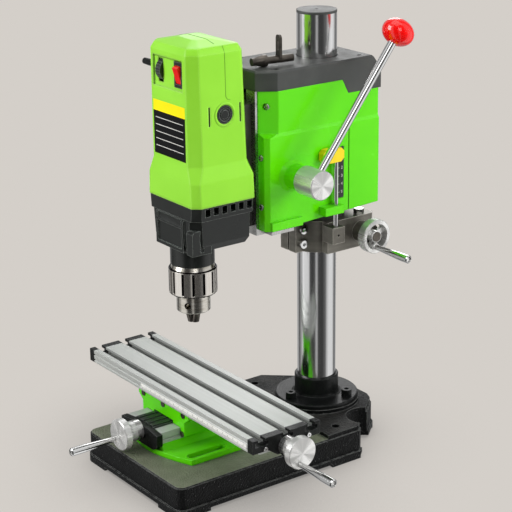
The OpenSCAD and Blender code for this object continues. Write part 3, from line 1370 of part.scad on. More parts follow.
gland_d = 11;
gland_lip = 1;
gland_l = 34;
gland_y = 192.5;
gland_z = 490;
module cord_gland() color(black) translate([-motor_side + motor_wall, -gland_y, gland_z]) rotate([0, -90, 0])
    difference() {
        rotate_extrude() polygon([[0, 0], [gland_d / 2 - fit, 0], [gland_d / 2 - fit, motor_wall],
            [gland_d / 2 + gland_lip, motor_wall], [gland_d / 2 + gland_lip, 2 * motor_wall],
            [gland_d / 2 - gland_lip, 2 * motor_wall],
            [gland_d / 3, gland_l], [0, gland_l]]);
        translate([0, 0, gland_l / 2]) cylinder(h = gland_l, d = gland_d / 3);
    }

// Switch: a bezel and body with a rocking key, and the potentiometer that carries the speed dial
bezel_t = 1.6;
rocker_r = 10.5;
rocker_w = 10;
rocker_in = 3;
rocker_y = face_y - rocker_in;
switch_depth = 26;
pot_w = 7;
module switch_body() color(black) {
    difference() {
        union() {
            translate([switch_x - switch_w / 2, -face_y + recess_d - bezel_t, switch_z - switch_h / 2])
                cube([switch_w, bezel_t, switch_h]);
            translate([switch_x - switch_w / 2 + bezel_t, -face_y + recess_d - fit,
                switch_z - switch_h / 2 + bezel_t]) cube([switch_w - 2 * bezel_t, switch_depth, switch_h - 2 * bezel_t]);
        }
        rod_x(switch_x - rocker_w / 2 - gap, rocker_w + 2 * gap, rocker_r + gap, -rocker_y, switch_z);
        rod_x(switch_x - rocker_w, 2 * rocker_w, pin_r / 2 + fit, -rocker_y, switch_z);
    }
    rod_x(dial_x - dial_w / 2 - gap - over, dial_w + gap + over, pin_r, -dial_wheel_y, switch_z);
    translate([dial_x - dial_w / 2 - gap - pot_w, -face_y + motor_wall, switch_z - pot_w])
        cube([pot_w, face_y - motor_wall - dial_wheel_y + pot_w, 2 * pot_w]);
}

// Rocker: a V-faced segment that turns about a pin, one half pressed in
module switch_rocker() color(red) {
    translate([0, -rocker_y, switch_z]) extrude_x(switch_x - rocker_w / 2, rocker_w)
        intersection() {
            circle(r = rocker_r);
            polygon([[rocker_r, -rocker_r], [-rocker_r * 0.1, -rocker_r * 1.1], [-rocker_r * 0.42, 0],
                [-rocker_r * 0.75, rocker_r * 1.1], [rocker_r, rocker_r]]);
        }
    rod_x(switch_x - rocker_w / 2 - gap, rocker_w + 2 * gap, pin_r / 2, -rocker_y, switch_z);
}

dial_grips = 24;
module speed_dial() color(black) translate([dial_x, -dial_wheel_y, switch_z]) extrude_x(-dial_w / 2, dial_w)
    difference() {
        circle(d = dial_wheel_d);
        circle(r = pin_r + fit);
        for (i = [0 : dial_grips - 1]) rotate(i * 360 / dial_grips)
            translate([dial_wheel_d / 2, 0]) circle(r = over / 2, $fn = 16);
    }

// Spindle and chuck, from the gear down to the jaws
chuck_back_h = 10.6;
sleeve_z = collar_z - chuck_back_h - sleeve_h;
nose_z = sleeve_z - nose_h;
jaw_tip = nose_z - jaw_out;
core_step = 3;
core_r = nose_d / 2 - core_step;
taper_h = 18;
jaw_l = 40;
relief_r = 22;
nose_cone_h = 3;
back_step = 1.5;
back_cone = 4;
module at_spindle() translate([0, spindle_y, 0]) children();

module spindle() color(steel) at_spindle() {
    translate([0, 0, sleeve_z + sleeve_h - taper_h + over])
        cylinder(h = bearing_high_z + bearing_h - sleeve_z - sleeve_h + taper_h - 2 * over, d = spindle_d);
    translate([0, 0, gear_z]) linear_extrude(gear_h) polygon(gear_points(gear_module, spindle_teeth, 90));
}

chuck_turn = -24.6;
module at_chuck() at_spindle() rotate([0, 0, chuck_turn]) children();

module jaw_frame(i) at_chuck() rotate([0, 0, -90 + 120 * i]) translate([0, 0, jaw_tip])
    translate([jaw_d / 2 * 0.55, 0, 0]) rotate([0, jaw_tilt, 0]) children();

module chuck_body() color(steel) difference() {
    at_spindle() rotate_extrude() polygon([[0, nose_z - nose_cone_h], [nose_d / 4, nose_z - nose_cone_h], [nose_d / 2 - over, nose_z],
        [nose_d / 2, nose_z + over], [nose_d / 2, sleeve_z - gap], [core_r, sleeve_z - gap],
        [core_r, sleeve_z + sleeve_h + gap / 2], [chuck_d / 2 - back_step, sleeve_z + sleeve_h + gap / 2],
        [chuck_d / 2 - back_step, sleeve_z + sleeve_h + chuck_back_h / 3],
        [chuck_d / 2 - back_cone, sleeve_z + sleeve_h + chuck_back_h - gap], [0, sleeve_z + sleeve_h + chuck_back_h - gap]]);
    at_spindle() translate([0, 0, sleeve_z + sleeve_h - taper_h + over])
        cylinder(h = reach, d = spindle_d + fit);
    for (i = [0 : 2]) {
        jaw_frame(i) translate([0, 0, -jaw_l]) cylinder(h = 3 * jaw_l, d = jaw_d + 2 * fit);
        at_chuck() rotate([0, 0, 90 + 120 * i]) rotate([0, 90, 0]) translate([-nose_z - nose_h * 0.45, 0, 0])
            cylinder(h = nose_d, d = key_hole_d);
    }
    at_spindle() translate([0, 0, nose_z - nose_h]) cylinder(h = nose_h + nose_h / 2, d = jaw_d * 1.6);
}

flute_count = 14;
flute_turn = 18.4;
key_tooth_count = 28;
key_tooth_r = 1.1;
flute_r = 1.6;
relief_end = 3;
relief_h = 18;
module chuck_sleeve() color(dark_steel) at_spindle() difference() {
    rotate_extrude() polygon([[core_r + fit, sleeve_z], [chuck_d / 2 - back_step, sleeve_z],
        [chuck_d / 2, sleeve_z + back_step], [chuck_d / 2, sleeve_z + sleeve_h - back_step],
        [chuck_d / 2 - back_step, sleeve_z + sleeve_h], [core_r + fit, sleeve_z + sleeve_h],
        [core_r + fit, sleeve_z + sleeve_h - relief_end], [relief_r, sleeve_z + sleeve_h - relief_end],
        [relief_r, sleeve_z + sleeve_h - relief_end - relief_h / 2],
        [core_r + fit, sleeve_z + sleeve_h - relief_end - relief_h]]);
    for (i = [0 : flute_count - 1]) rotate([0, 0, flute_turn + i * 360 / flute_count])
        translate([chuck_d / 2 + flute_r / 3, 0, sleeve_z + 2 * back_step])
            cylinder(h = sleeve_h - 3 * back_step, r = flute_r, $fn = 24);
    for (i = [0 : key_tooth_count - 1]) rotate([0, 0, i * 360 / key_tooth_count])
        translate([chuck_d / 2, 0, sleeve_z]) rotate([0, 45, 0])
            cylinder(h = 4 * key_tooth_r, r = key_tooth_r, center = true, $fn = 16);
}

module chuck_jaw(i) color(dark_steel) intersection() {
    jaw_frame(i) cylinder(h = jaw_l, d = jaw_d);
    at_chuck() rotate([0, 0, -90 + 120 * i]) translate([0, 0, jaw_tip]) linear_extrude(2 * jaw_l)
        polygon([[fit * 2, 0], [nose_d, nose_d * tan(60) - fit * 4], [nose_d, -nose_d * tan(60) + fit * 4]]);
}
module chuck_jaw_1() chuck_jaw(0);
module chuck_jaw_2() chuck_jaw(1);
module chuck_jaw_3() chuck_jaw(2);

// Chuck key lying on the cap: bevel gear, body and upright grip loop
key_x = 14;
key_y = 106;
key_turn = -8;
key_gear_d = 14;
key_gear_l = 14;
key_body_d = 9;
key_l = 54;
key_loop_h = 26;
key_loop_w = 10;
key_loop_t = 3;
key_loop_at = 36;
module chuck_key() color(steel) translate([key_x, -key_y, head_top + key_gear_d / 2 + fit]) rotate([0, 0, key_turn])
    rotate([-90, 0, 0]) {
        cylinder(h = key_gear_l, d1 = key_gear_d / 2, d2 = key_gear_d);
        translate([0, 0, key_gear_l]) cylinder(h = key_gear_l / 3, d = key_gear_d);
        cylinder(h = key_l, d = key_body_d);
        translate([0, 0, key_loop_at - key_loop_t / 2]) linear_extrude(key_loop_t) difference() {
            translate([0, -key_loop_h / 2]) slot2d(key_loop_w, key_loop_h - key_loop_w / 2);
            translate([0, -key_loop_h / 2 - key_body_d / 3]) slot2d(key_loop_w / 2.2, key_loop_h - 2 * key_body_d);
        }
    }

base_casting();
column_flange();
flange_bolts();
column();
column_cap();
column_rack();
compound_base();
cross_rail();
cross_end_plates();
cross_way_cover();
saddle();
gib_screws();
leadscrew_nuts();
table();
table_end_caps();
table_leadscrew();
table_handwheel();
table_crank_handle();
cross_leadscrew();
cross_handwheel();
cross_crank_handle();
column_bracket();
bracket_screws();
head_casting();
slideway();
right_cover();
left_cover();
cover_screws();
head_cap();
depth_block();
return_spring();
lift_wheel();
lift_shaft();
lift_crank_handle();
feed_hub();
feed_shaft();
feed_lever();
lever_knob();
motor_carriage();
feed_rack();
depth_arm();
depth_pointer();
depth_rod();
motor_shell();
gearbox_housing();
stator();
brush_caps();
cord_gland();
switch_body();
bearings();
spindle();
chuck_body();
chuck_sleeve();
chuck_jaw_1();
chuck_jaw_2();
chuck_jaw_3();
armature();
switch_rocker();
speed_dial();
chuck_key();
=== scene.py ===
# Benchtop drill press: finishes, small fittings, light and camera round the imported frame
import bpy
import bmesh
import math
from mathutils import Matrix, Vector
from mathutils.bvhtree import BVHTree


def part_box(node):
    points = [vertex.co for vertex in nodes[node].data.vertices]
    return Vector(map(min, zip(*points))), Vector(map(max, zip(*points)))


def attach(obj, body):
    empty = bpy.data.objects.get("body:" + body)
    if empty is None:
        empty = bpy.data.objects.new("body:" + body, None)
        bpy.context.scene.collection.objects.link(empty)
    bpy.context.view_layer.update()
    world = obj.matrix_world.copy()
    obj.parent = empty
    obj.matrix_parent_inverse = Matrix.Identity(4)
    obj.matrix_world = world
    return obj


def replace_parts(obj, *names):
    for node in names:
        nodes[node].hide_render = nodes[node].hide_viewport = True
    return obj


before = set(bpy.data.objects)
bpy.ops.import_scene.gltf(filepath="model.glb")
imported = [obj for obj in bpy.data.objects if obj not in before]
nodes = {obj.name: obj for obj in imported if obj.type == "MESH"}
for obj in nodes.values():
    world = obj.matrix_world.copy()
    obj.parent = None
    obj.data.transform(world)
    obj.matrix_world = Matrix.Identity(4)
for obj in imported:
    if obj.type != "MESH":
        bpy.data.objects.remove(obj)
scene = bpy.context.scene
scene.view_settings.view_transform = "Standard"
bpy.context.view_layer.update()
mm = 0.001
quarter = math.pi / 2
print("frame loaded,", len(nodes), "nodes")

# Camera, on the photograph's sight line
photoView = {"azimuth": 53.83, "pitch": 18.9, "roll": -0.68, "place": (1.4728, -1.1692, 0.8759),
             "lens": 113.16, "sensor": 36, "near": 0.05, "far": 50}


def setCamera(look):
    a, e, r = (math.radians(look[key]) for key in ("azimuth", "pitch", "roll"))
    right = Vector((math.cos(a), math.sin(a), 0))
    back = Vector((math.sin(a) * math.cos(e), -math.cos(a) * math.cos(e), math.sin(e)))
    up = back.cross(right)
    rolledRight = right * math.cos(r) + up * math.sin(r)
    rolledUp = up * math.cos(r) - right * math.sin(r)
    data = bpy.data.cameras.new("photoCamera")
    data.lens, data.sensor_width = look["lens"], look["sensor"]
    data.clip_start, data.clip_end = look["near"], look["far"]
    eye = bpy.data.objects.new("photoCamera", data)
    turn = Matrix((rolledRight, rolledUp, back)).transposed().to_4x4()
    eye.matrix_world = Matrix.Translation(look["place"]) @ turn
    scene.collection.objects.link(eye)
    scene.camera = eye


setCamera(photoView)
print("camera set")


# Node helpers
def join(tree, value, socket):  # a link from another socket, or a plain value
    if isinstance(value, bpy.types.NodeSocket):
        tree.links.new(value, socket)
    else:
        socket.default_value = value


def put(tree, kind, feeds=None, **looks):
    node = tree.nodes.new(kind)
    for key, value in looks.items():
        setattr(node, key, value)
    for key, value in (feeds or {}).items():
        join(tree, value, node.inputs[key])
    return node


def calc(tree, operation, *values, clamp=False):
    return put(tree, "ShaderNodeMath", dict(enumerate(values)), operation=operation,
               use_clamp=clamp).outputs[0]


def vectorCalc(tree, operation, *values, result=0):
    return put(tree, "ShaderNodeVectorMath", dict(enumerate(values)), operation=operation).outputs[result]


def ramp(tree, value, low, high, lowTo=0.0, highTo=1.0, kind="LINEAR"):
    return put(tree, "ShaderNodeMapRange", {"Value": value, "From Min": low, "From Max": high,
               "To Min": lowTo, "To Max": highTo}, interpolation_type=kind, clamp=True).outputs["Result"]


def noise(tree, point, scale, detail):
    return put(tree, "ShaderNodeTexNoise", {"Vector": point, "Scale": scale, "Detail": detail}).outputs[0]


def vectorOf(tree, **parts):
    return put(tree, "ShaderNodeCombineXYZ", parts).outputs[0]


def partsOf(tree, vector):
    return put(tree, "ShaderNodeSeparateXYZ", {0: vector}).outputs


def mixColours(tree, share, first, second):
    node = put(tree, "ShaderNodeMix", data_type="RGBA")
    for key, value in ((0, share), (6, first), (7, second)):
        join(tree, value, node.inputs[key])
    return node.outputs[2]


def objectPoint(tree):
    return tree.nodes.new("ShaderNodeTexCoord").outputs["Object"]


def facing(tree):
    return tree.nodes.new("ShaderNodeNewGeometry").outputs["Normal"]


def addSockets(tree, way, sockets):
    for label, kind, value in sockets:
        socket = tree.interface.new_socket(label, in_out=way, socket_type=kind)
        if value is not None:
            socket.default_value = value


def endSockets(tree):
    return tree, tree.nodes.new("NodeGroupInput").outputs, tree.nodes.new("NodeGroupOutput").inputs


def newGroup(name, inputs, outputs):  # the outputs are all masks or heights
    tree = bpy.data.node_groups.new(name, "ShaderNodeTree")
    addSockets(tree, "INPUT", inputs)
    addSockets(tree, "OUTPUT", [(label, floatKind, None) for label in outputs])
    return endSockets(tree)


floatKind, vectorKind = "NodeSocketFloat", "NodeSocketVector"


# Shared effects
def makeCastSkin():  # orange peel of powder paint and cast metal, with pale flecks that are painted glints off the grain
    look = {"pits": (0.1, 0.7), "fleckScale": 1.7, "fleckFrom": 0.78, "fleckShare": 0.3, "fleckSoft": 0.07,
            "cloud": (0.3, 0.7)}
    t, i, o = newGroup("castSkin", [("Scale", floatKind, 900.0), ("Flecks", floatKind, 0.2),
                                    ("Blotch", floatKind, 60.0)], ["Height", "PaintedGlint", "Cloud"])
    p = objectPoint(t)
    pits = put(t, "ShaderNodeTexVoronoi", {"Vector": p, "Scale": i["Scale"]}).outputs["Distance"]
    join(t, calc(t, "ADD", noise(t, p, i["Scale"], 3.0), ramp(t, pits, *look["pits"])), o["Height"])
    spots = noise(t, p, calc(t, "MULTIPLY", i["Scale"], look["fleckScale"]), 2.0)
    limit = calc(t, "SUBTRACT", look["fleckFrom"], calc(t, "MULTIPLY", i["Flecks"], look["fleckShare"]))
    join(t, ramp(t, calc(t, "SUBTRACT", spots, limit), 0.0, look["fleckSoft"]), o["PaintedGlint"])
    join(t, ramp(t, noise(t, p, i["Blotch"], 4.0), *look["cloud"]), o["Cloud"])
    return t


def makeWornEdge():  # 1 on edges, broken up by a noise: worn paint on some finishes, a painted highlight on others
    look = {"edge": (0.995, 0.84), "unbrokenShare": 0.5, "broken": (0.55, 0.78)}
    t, i, o = newGroup("edgeWearAndHighlight", [("Radius", floatKind, 0.0012), ("Unbroken", floatKind, 0.5),
                                    ("Scale", floatKind, 160.0)], ["Edge"])
    soft = put(t, "ShaderNodeBevel", {"Radius": i["Radius"]}, samples=6).outputs[0]
    edge = ramp(t, vectorCalc(t, "DOT_PRODUCT", soft, facing(t), result="Value"), *look["edge"])
    unbroken = calc(t, "MULTIPLY", i["Unbroken"], look["unbrokenShare"])
    broken = ramp(t, calc(t, "ADD", noise(t, objectPoint(t), i["Scale"], 4.0), unbroken), *look["broken"])
    join(t, calc(t, "MULTIPLY", edge, broken, clamp=True), o["Edge"])
    return t


def makeCavity():  # 1 deep in grooves, slots and inner corners, where it lays painted shade
    look = {"free": (0.62, 0.12)}
    t, i, o = newGroup("cavityShade", [("Reach", floatKind, 0.006), ("Share", floatKind, 0.8)], ["PaintedShade"])
    free = put(t, "ShaderNodeAmbientOcclusion", {"Distance": i["Reach"]}, samples=6).outputs["AO"]
    join(t, calc(t, "MULTIPLY", ramp(t, free, *look["free"]), i["Share"], clamp=True), o["PaintedShade"])
    return t


def makeDust():  # thin dust on what faces up
    look = {"patches": (0.35, 0.7), "level": (0.3, 1.0)}
    t, i, o = newGroup("settledDust", [("Amount", floatKind, 0.2), ("Scale", floatKind, 40.0)], ["Dust"])
    patches = ramp(t, noise(t, objectPoint(t), i["Scale"], 5.0), *look["patches"])
    dust = calc(t, "MULTIPLY", ramp(t, partsOf(t, facing(t))["Z"], *look["level"]), patches)
    join(t, calc(t, "MULTIPLY", dust, i["Amount"], clamp=True), o["Dust"])
    return t


def makeDrawnLines():  # fine lines along one axis, by a stretched noise
    t, i, o = newGroup("drawnLines", [("Stretch", vectorKind, (8.0, 1500.0, 1500.0)),
                                      ("Broad", vectorKind, (3.0, 120.0, 120.0))], ["Height", "Shade"])
    p = objectPoint(t)
    join(t, noise(t, vectorCalc(t, "MULTIPLY", p, i["Stretch"]), 1.0, 2.0), o["Height"])
    join(t, ramp(t, noise(t, vectorCalc(t, "MULTIPLY", p, i["Broad"]), 1.0, 3.0), 0.3, 0.7), o["Shade"])
    return t


def makeLatheRings():  # turned faces: rings round the axis, and soft wedges for the roughness and for a painted highlight in the colour
    look = {"circle": 6.283, "wedges": 1.6, "soft": (0.35, 0.65)}
    t, i, o = newGroup("latheRings", [("Centre", vectorKind, (0.0, 0.0, 0.0)),
                                      ("Along", vectorKind, (0.0, 1.0, 1.0)),
                                      ("Pitch", floatKind, 0.0005)], ["Height", "Wedge"])
    flat = vectorCalc(t, "MULTIPLY", vectorCalc(t, "SUBTRACT", objectPoint(t), i["Centre"]), i["Along"])
    radius = vectorCalc(t, "LENGTH", flat, result="Value")
    turns = calc(t, "MULTIPLY", calc(t, "DIVIDE", radius, i["Pitch"]), look["circle"])
    join(t, calc(t, "SINE", turns), o["Height"])
    join(t, ramp(t, noise(t, vectorCalc(t, "NORMALIZE", flat), look["wedges"], 1.0), *look["soft"]), o["Wedge"])
    return t


def makeOnLevel():  # 1 on faces that look up at one height
    t, i, o = newGroup("onLevel", [("Level", floatKind, 0.038), ("Reach", floatKind, 0.0006)], ["On"])
    away = calc(t, "ABSOLUTE", calc(t, "SUBTRACT", partsOf(t, objectPoint(t))["Z"], i["Level"]))
    upward = calc(t, "GREATER_THAN", partsOf(t, facing(t))["Z"], 0.9)
    join(t, calc(t, "MULTIPLY", calc(t, "LESS_THAN", away, i["Reach"]), upward), o["On"])
    return t


def makeProudRidge():  # 1 on the tops of the ridges round an upright sleeve, between its foot and its crown
    t, i, o = newGroup("proudRidge", [("Centre", vectorKind, (0.0, 0.0, 0.0)), ("Radius", floatKind, 0.028),
                                      ("Step", floatKind, 0.0002), ("Foot", floatKind, 0.0),
                                      ("Crown", floatKind, 0.03), ("Fade", floatKind, 0.0003)], ["Ridge"])
    p = objectPoint(t)
    flat = vectorCalc(t, "MULTIPLY", vectorCalc(t, "SUBTRACT", p, i["Centre"]), (1.0, 1.0, 0.0))
    radius, z = vectorCalc(t, "LENGTH", flat, result="Value"), partsOf(t, p)["Z"]
    proud = ramp(t, radius, calc(t, "SUBTRACT", i["Radius"], i["Step"]), i["Radius"])
    above = ramp(t, z, calc(t, "SUBTRACT", i["Foot"], i["Fade"]), i["Foot"])
    below = ramp(t, z, i["Crown"], calc(t, "SUBTRACT", i["Crown"], i["Fade"]))
    join(t, calc(t, "MULTIPLY", calc(t, "MULTIPLY", proud, above), below), o["Ridge"])
    return t


def group(tree, what, values):
    node = tree.nodes.new("ShaderNodeGroup")
    node.node_tree = what
    for key, value in values.items():
        node.inputs[key].default_value = value
    return node.outputs


def srgb(r, g, b):
    parts = [c / 255 for c in (r, g, b)]
    return tuple(p / 12.92 if p <= 0.04045 else ((p + 0.055) / 1.055) ** 2.4 for p in parts) + (1.0,)


# How a finish is built: its surface gives the bump and an uneven field, masks lay tints over its paint
surfaces = {"skin": makeCastSkin(), "lines": makeDrawnLines(), "rings": makeLatheRings()}
# the deep mask lays painted shade; the edge mask serves worn paint and painted highlights
masks = {"edge": (makeWornEdge(), "Edge"), "dust": (makeDust(), "Dust"), "deep": (makeCavity(), "PaintedShade"),
         "level": (makeOnLevel(), "On"), "ridge": (makeProudRidge(), "Ridge")}
shaderSockets = {"metallic": ("Metallic", 0.0), "coat": ("Coat Weight", 0.0), "specular": ("Specular IOR Level", 0.5),
                 "coatRough": ("Coat Roughness", 0.1), "brushed": ("Anisotropic", 0.0)}
toneBy = ("skinCloud", "linesShade", "ringsWedge")
heightBy = ("ringsHeight", "linesHeight", "skinHeight")
roughBy = {"skinCloud": (0, 1), "linesHeight": (0.2, 0.8), "ringsWedge": (0, 1)}
finish = {}


def makeFinish(name, look):
    material = bpy.data.materials.new(name)
    material.use_nodes = True
    t = material.node_tree
    shader = t.nodes["Principled BSDF"].inputs
    for key, (socket, plain) in shaderSockets.items():
        shader[socket].default_value = look.get(key, plain)
    fields = {kind + label: socket for kind in surfaces if kind in look
              for label, socket in group(t, surfaces[kind], look[kind]).items()}
    tone, height = (next(fields[key] for key in keys if key in fields) for keys in (toneBy, heightBy))

    def tinted(tint):  # one colour, or two that the surface's own tone mixes
        return mixColours(t, tone, *(srgb(*c) for c in tint)) if isinstance(tint[0], tuple) else srgb(*tint)

    colour = tinted(look["paint"])
    for what, values, share, tint in look.get("over", ()):
        if what in masks:
            source, label = masks[what]
            mask = group(t, source, values)[label]
        else:
            mask = fields[what]
        if share != 1:
            mask = calc(t, "MULTIPLY", mask, share)
        colour = mixColours(t, mask, colour, tinted(tint))
    uneven = next(key for key in roughBy if key in fields)
    join(t, colour, shader["Base Color"])
    join(t, ramp(t, fields[uneven], *roughBy[uneven], *look["rough"]), shader["Roughness"])
    strength, distance = look["bump"]
    bump = put(t, "ShaderNodeBump", {"Height": height, "Strength": strength, "Distance": distance})
    if look.get("soft"):  # rounded look of an edge, in metres
        join(t, put(t, "ShaderNodeBevel", {"Radius": look["soft"]}, samples=8).outputs[0], bump.inputs["Normal"])
    join(t, bump.outputs[0], shader["Normal"])
    finish[name] = material


def lined(fine, broad):
    return {"Stretch": fine, "Broad": broad}


def even(value):
    return (value, value, value)




# Finishes, one per kind of surface on the machine: colours are sRGB, soft is in metres
finishLooks = {
    "texturedBasePaint": {
        "specular": 0.16, "skin": {"Scale": 430, "Flecks": 0.26}, "paint": (9, 10, 10),
        # pale flecks: painted glints off the sandy grain
        "over": [("skinFleck", {}, 0.85, (176, 178, 178)),
                 ("level", {"Level": 0.038}, 1, ((112, 117, 98), (100, 106, 86))),  # ground top of the base
                 # the edge tint is worn paint and also a painted highlight along the edges
                 ("edge", {"Radius": 0.0012, "Unbroken": 0.55}, 1, (112, 114, 112)),
                 ("dust", {"Amount": 0.1}, 1, (150, 148, 142))],
        "rough": (0.42, 0.58), "bump": (0.75, 0.0007), "soft": 0.0016},
    "glossBlackPaint": {
        "coat": 0.12, "coatRough": 0.12, "specular": 0.12,
        "skin": {"Scale": 560, "Flecks": 0.22, "Blotch": 35}, "paint": ((12, 13, 13), (20, 22, 21)),
        "over": [("edge", {"Radius": 0.0008, "Unbroken": 0.35}, 1, (90, 92, 92)),
                 # pale flecks: painted glints off the grain
                 ("skinFleck", {}, 0.5, (130, 132, 130))],
        "rough": (0.3, 0.42), "bump": (0.35, 0.0005), "soft": 0.0012},
    "greyBracketCasting": {
        "specular": 0.4, "skin": {"Scale": 700}, "paint": ((44, 43, 41), (60, 58, 55)),
        "over": [("edge", {"Radius": 0.001, "Unbroken": 0.3}, 1, (104, 102, 98))],
        "rough": (0.45, 0.6), "bump": (0.35, 0.0005), "soft": 0.001},
    "machinedBracketIron": {  # milled and oiled
        "metallic": 0.75, "skin": {"Scale": 500, "Blotch": 45},
        "lines": lined((60, 60, 1600), (20, 20, 220)), "paint": ((104, 101, 94), (140, 137, 128)),
        "over": [("linesShade", {}, 0.4, (84, 81, 75)),
                 ("edge", {"Radius": 0.0012, "Unbroken": 0.8}, 1, (206, 202, 192)),
                 # painted shade in grooves and corners
                 ("deep", {"Reach": 0.008, "Share": 0.9}, 1, (24, 22, 20))],
        "rough": (0.3, 0.46), "bump": (0.15, 0.0003), "soft": 0.0008},
    "glossGreenPaint": {
        "coat": 0.18, "coatRough": 0.06, "specular": 0.2, "skin": {"Scale": 320, "Blotch": 14},
        "paint": ((88, 210, 0), (96, 218, 4)),
        "over": [("dust", {"Amount": 0.05, "Scale": 25}, 1, (190, 200, 170)),
                 # painted shade in grooves and seams
                 ("deep", {"Reach": 0.005, "Share": 0.85}, 1, (20, 58, 6))],
        "rough": (0.22, 0.3), "bump": (0.04, 0.0005), "soft": 0.0018},
    "satinLimeMoulding": {
        "coat": 0.06, "coatRough": 0.3, "specular": 0.3, "skin": {"Scale": 1500, "Blotch": 18},
        "paint": ((138, 212, 46), (146, 219, 54)),
        # the edge tint is a painted highlight along the shell's edges
        "over": [("edge", {"Radius": 0.0022, "Unbroken": 1, "Scale": 30}, 0.5, (196, 248, 128)),
                 # painted shade in grooves and seams
                 ("deep", {"Reach": 0.004, "Share": 0.8}, 1, (44, 76, 14))],
        "rough": (0.32, 0.42), "bump": (0.05, 0.0003), "soft": 0.0045},
    "texturedCharcoal": {
        "skin": {"Scale": 1300}, "paint": ((58, 60, 59), (68, 70, 68)),
        "over": [("dust", {"Amount": 0.08}, 1, (160, 158, 152))],
        "rough": (0.45, 0.6), "bump": (0.3, 0.0003), "soft": 0.0018},
    "satinBlackMoulding": {
        "coat": 0.15, "coatRough": 0.15, "specular": 0.3, "skin": {"Scale": 1500},
        "paint": ((18, 21, 19), (25, 28, 26)),
        # the edge tint is a painted highlight along the edges
        "over": [("edge", {"Radius": 0.0007, "Unbroken": 1}, 1, (138, 146, 140))],
        "rough": (0.26, 0.36), "bump": (0.06, 0.0003), "soft": 0.0014},
    "varnishedWinding": {
        "metallic": 0.9, "coat": 0.4, "lines": lined((60, 60, 2400), (30, 30, 300)),
        "paint": ((150, 78, 40), (196, 116, 62)), "rough": (0.3, 0.45), "bump": (0.5, 0.0004)},
    "anodisedTable": {
        "metallic": 0.45, "specular": 0.4, "lines": lined((5, 1800, 1800), (2, 260, 260)),
        "paint": ((178, 181, 177), (187, 189, 186)),
        # painted shade in the slots and grooves
        "over": [("deep", {"Reach": 0.009, "Share": 0.9}, 1, (52, 54, 52))],
        "rough": (0.42, 0.5), "bump": (0.07, 0.0001), "soft": 0.0005},
    "chromedTube": {
        "metallic": 1, "brushed": 0.4, "lines": lined((900, 900, 6), (160, 160, 1.5)),
        "paint": ((196, 196, 196), (226, 226, 226)), "rough": (0.1, 0.2), "bump": (0.02, 0.0002)},
    "polishedHandle": {
        "metallic": 1, "lines": lined(even(120), even(30)), "paint": ((216, 216, 215), (226, 226, 225)),
        "rough": (0.1, 0.108), "bump": (0.003, 0.0002)},
    "oiledSteel": {
        "metallic": 1, "lines": lined(even(600), even(80)), "paint": ((78, 74, 70), (118, 112, 104)),
        "rough": (0.25, 0.42), "bump": (0.1, 0.0002)},
    "turnedSteel": {
        "metallic": 1, "lines": lined(even(500), even(70)), "paint": ((166, 165, 162), (204, 203, 200)),
        "rough": (0.2, 0.34), "bump": (0.06, 0.0002)},
    "turnedBrass": {
        "metallic": 1, "lines": lined(even(600), even(70)), "paint": ((172, 136, 62), (206, 172, 92)),
        "rough": (0.25, 0.4), "bump": (0.08, 0.0002)}}
finishLooks["cleanRail"] = {**finishLooks["anodisedTable"], "metallic": 0.25}

# The chuck: chromed body, and a sleeve with bright ridges over dark flutes and rims
chuckLook = {"centre": (0, -0.184, 0), "foot": 0.0021, "crown": 0.0307, "ridge": 0.02825}
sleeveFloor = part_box("chuck_sleeve")[0][2]
finishLooks["chromedChuck"] = {
    "metallic": 1, "rings": {"Centre": chuckLook["centre"], "Along": (1, 1, 0), "Pitch": 0.0004},
    "lines": lined((300, 300, 2500), (40, 40, 300)), "paint": ((178, 172, 160), (214, 210, 202)),
    "rough": (0.12, 0.26), "bump": (0.03, 0.0002)}
finishLooks["flutedSleeveSteel"] = {
    "metallic": 0.95, "lines": lined((900, 900, 40), (90, 90, 6)), "paint": (14, 13, 12),
    "over": [("ridge", {"Centre": chuckLook["centre"], "Radius": chuckLook["ridge"],
                        "Foot": sleeveFloor + chuckLook["foot"], "Crown": sleeveFloor + chuckLook["crown"]},
              1, ((196, 188, 178), (222, 218, 212)))],
    "rough": (0.1, 0.2), "bump": (0.03, 0.0002)}

# Turned faces: the middle of each and the plane its rings lie in
acrossX, acrossY = (0, 1, 1), (1, 0, 1)
turnedFaces = {"turnedWheelX": ((0, -0.1724, 0.0877), acrossX), "turnedWheelY": ((-0.023, 0, 0.061), acrossY),
               "turnedLiftWheel": ((0, 0.0231, 0.26825), acrossX), "turnedHub": ((0, -0.074, 0.359), acrossX)}
for name, (centre, along) in turnedFaces.items():
    # the two greys follow the wedges: a painted highlight on the turned faces
    finishLooks[name] = {
        "metallic": 0.55, "specular": 0.6, "brushed": 0.3, "paint": ((186, 186, 184), (232, 232, 230)),
        "rings": {"Centre": centre, "Along": along, "Pitch": 0.0006},
        "rough": (0.34, 0.22), "bump": (0.1, 0.0001), "soft": 0.0006}

# Smooth plain colours: two near shades, a roughness, a coat, and what differs from the rest
plainColours = {"redKnob": ((232, 6, 6), (240, 8, 4), 0.1, 0.4, {"soft": 0}),
                "redRocker": ((226, 16, 12), (234, 22, 16), 0.16, 0.5, {}),
                "yellowMoulding": ((240, 206, 4), (244, 216, 10), 0.35, 0.1, {}),
                "labelBlack": ((4, 4, 6), (9, 9, 11), 0.45, 0, {"soft": 0, "specular": 0.12}),
                "labelYellow": ((250, 222, 0), (252, 228, 4), 0.45, 0, {"soft": 0, "specular": 0.15}),
                "whiteMarks": ((232, 232, 228), (240, 240, 236), 0.4, 0, {}),
                "blackMarks": ((26, 27, 28), (34, 35, 36), 0.4, 0, {}),
                "shellSeam": ((78, 140, 24), (88, 150, 30), 0.5, 0, {})}
for name, (first, second, rough, coat, other) in plainColours.items():
    finishLooks[name] = {"coat": coat, "coatRough": 0.04, "skin": {"Scale": 240, "Blotch": 45},
                         "paint": (first, second), "rough": (rough, rough * 1.08), "bump": (0.01, 0.0003),
                         "soft": 0.0006, **other}
for name, look in finishLooks.items():
    makeFinish(name, look)
print("finishes made:", len(finish))

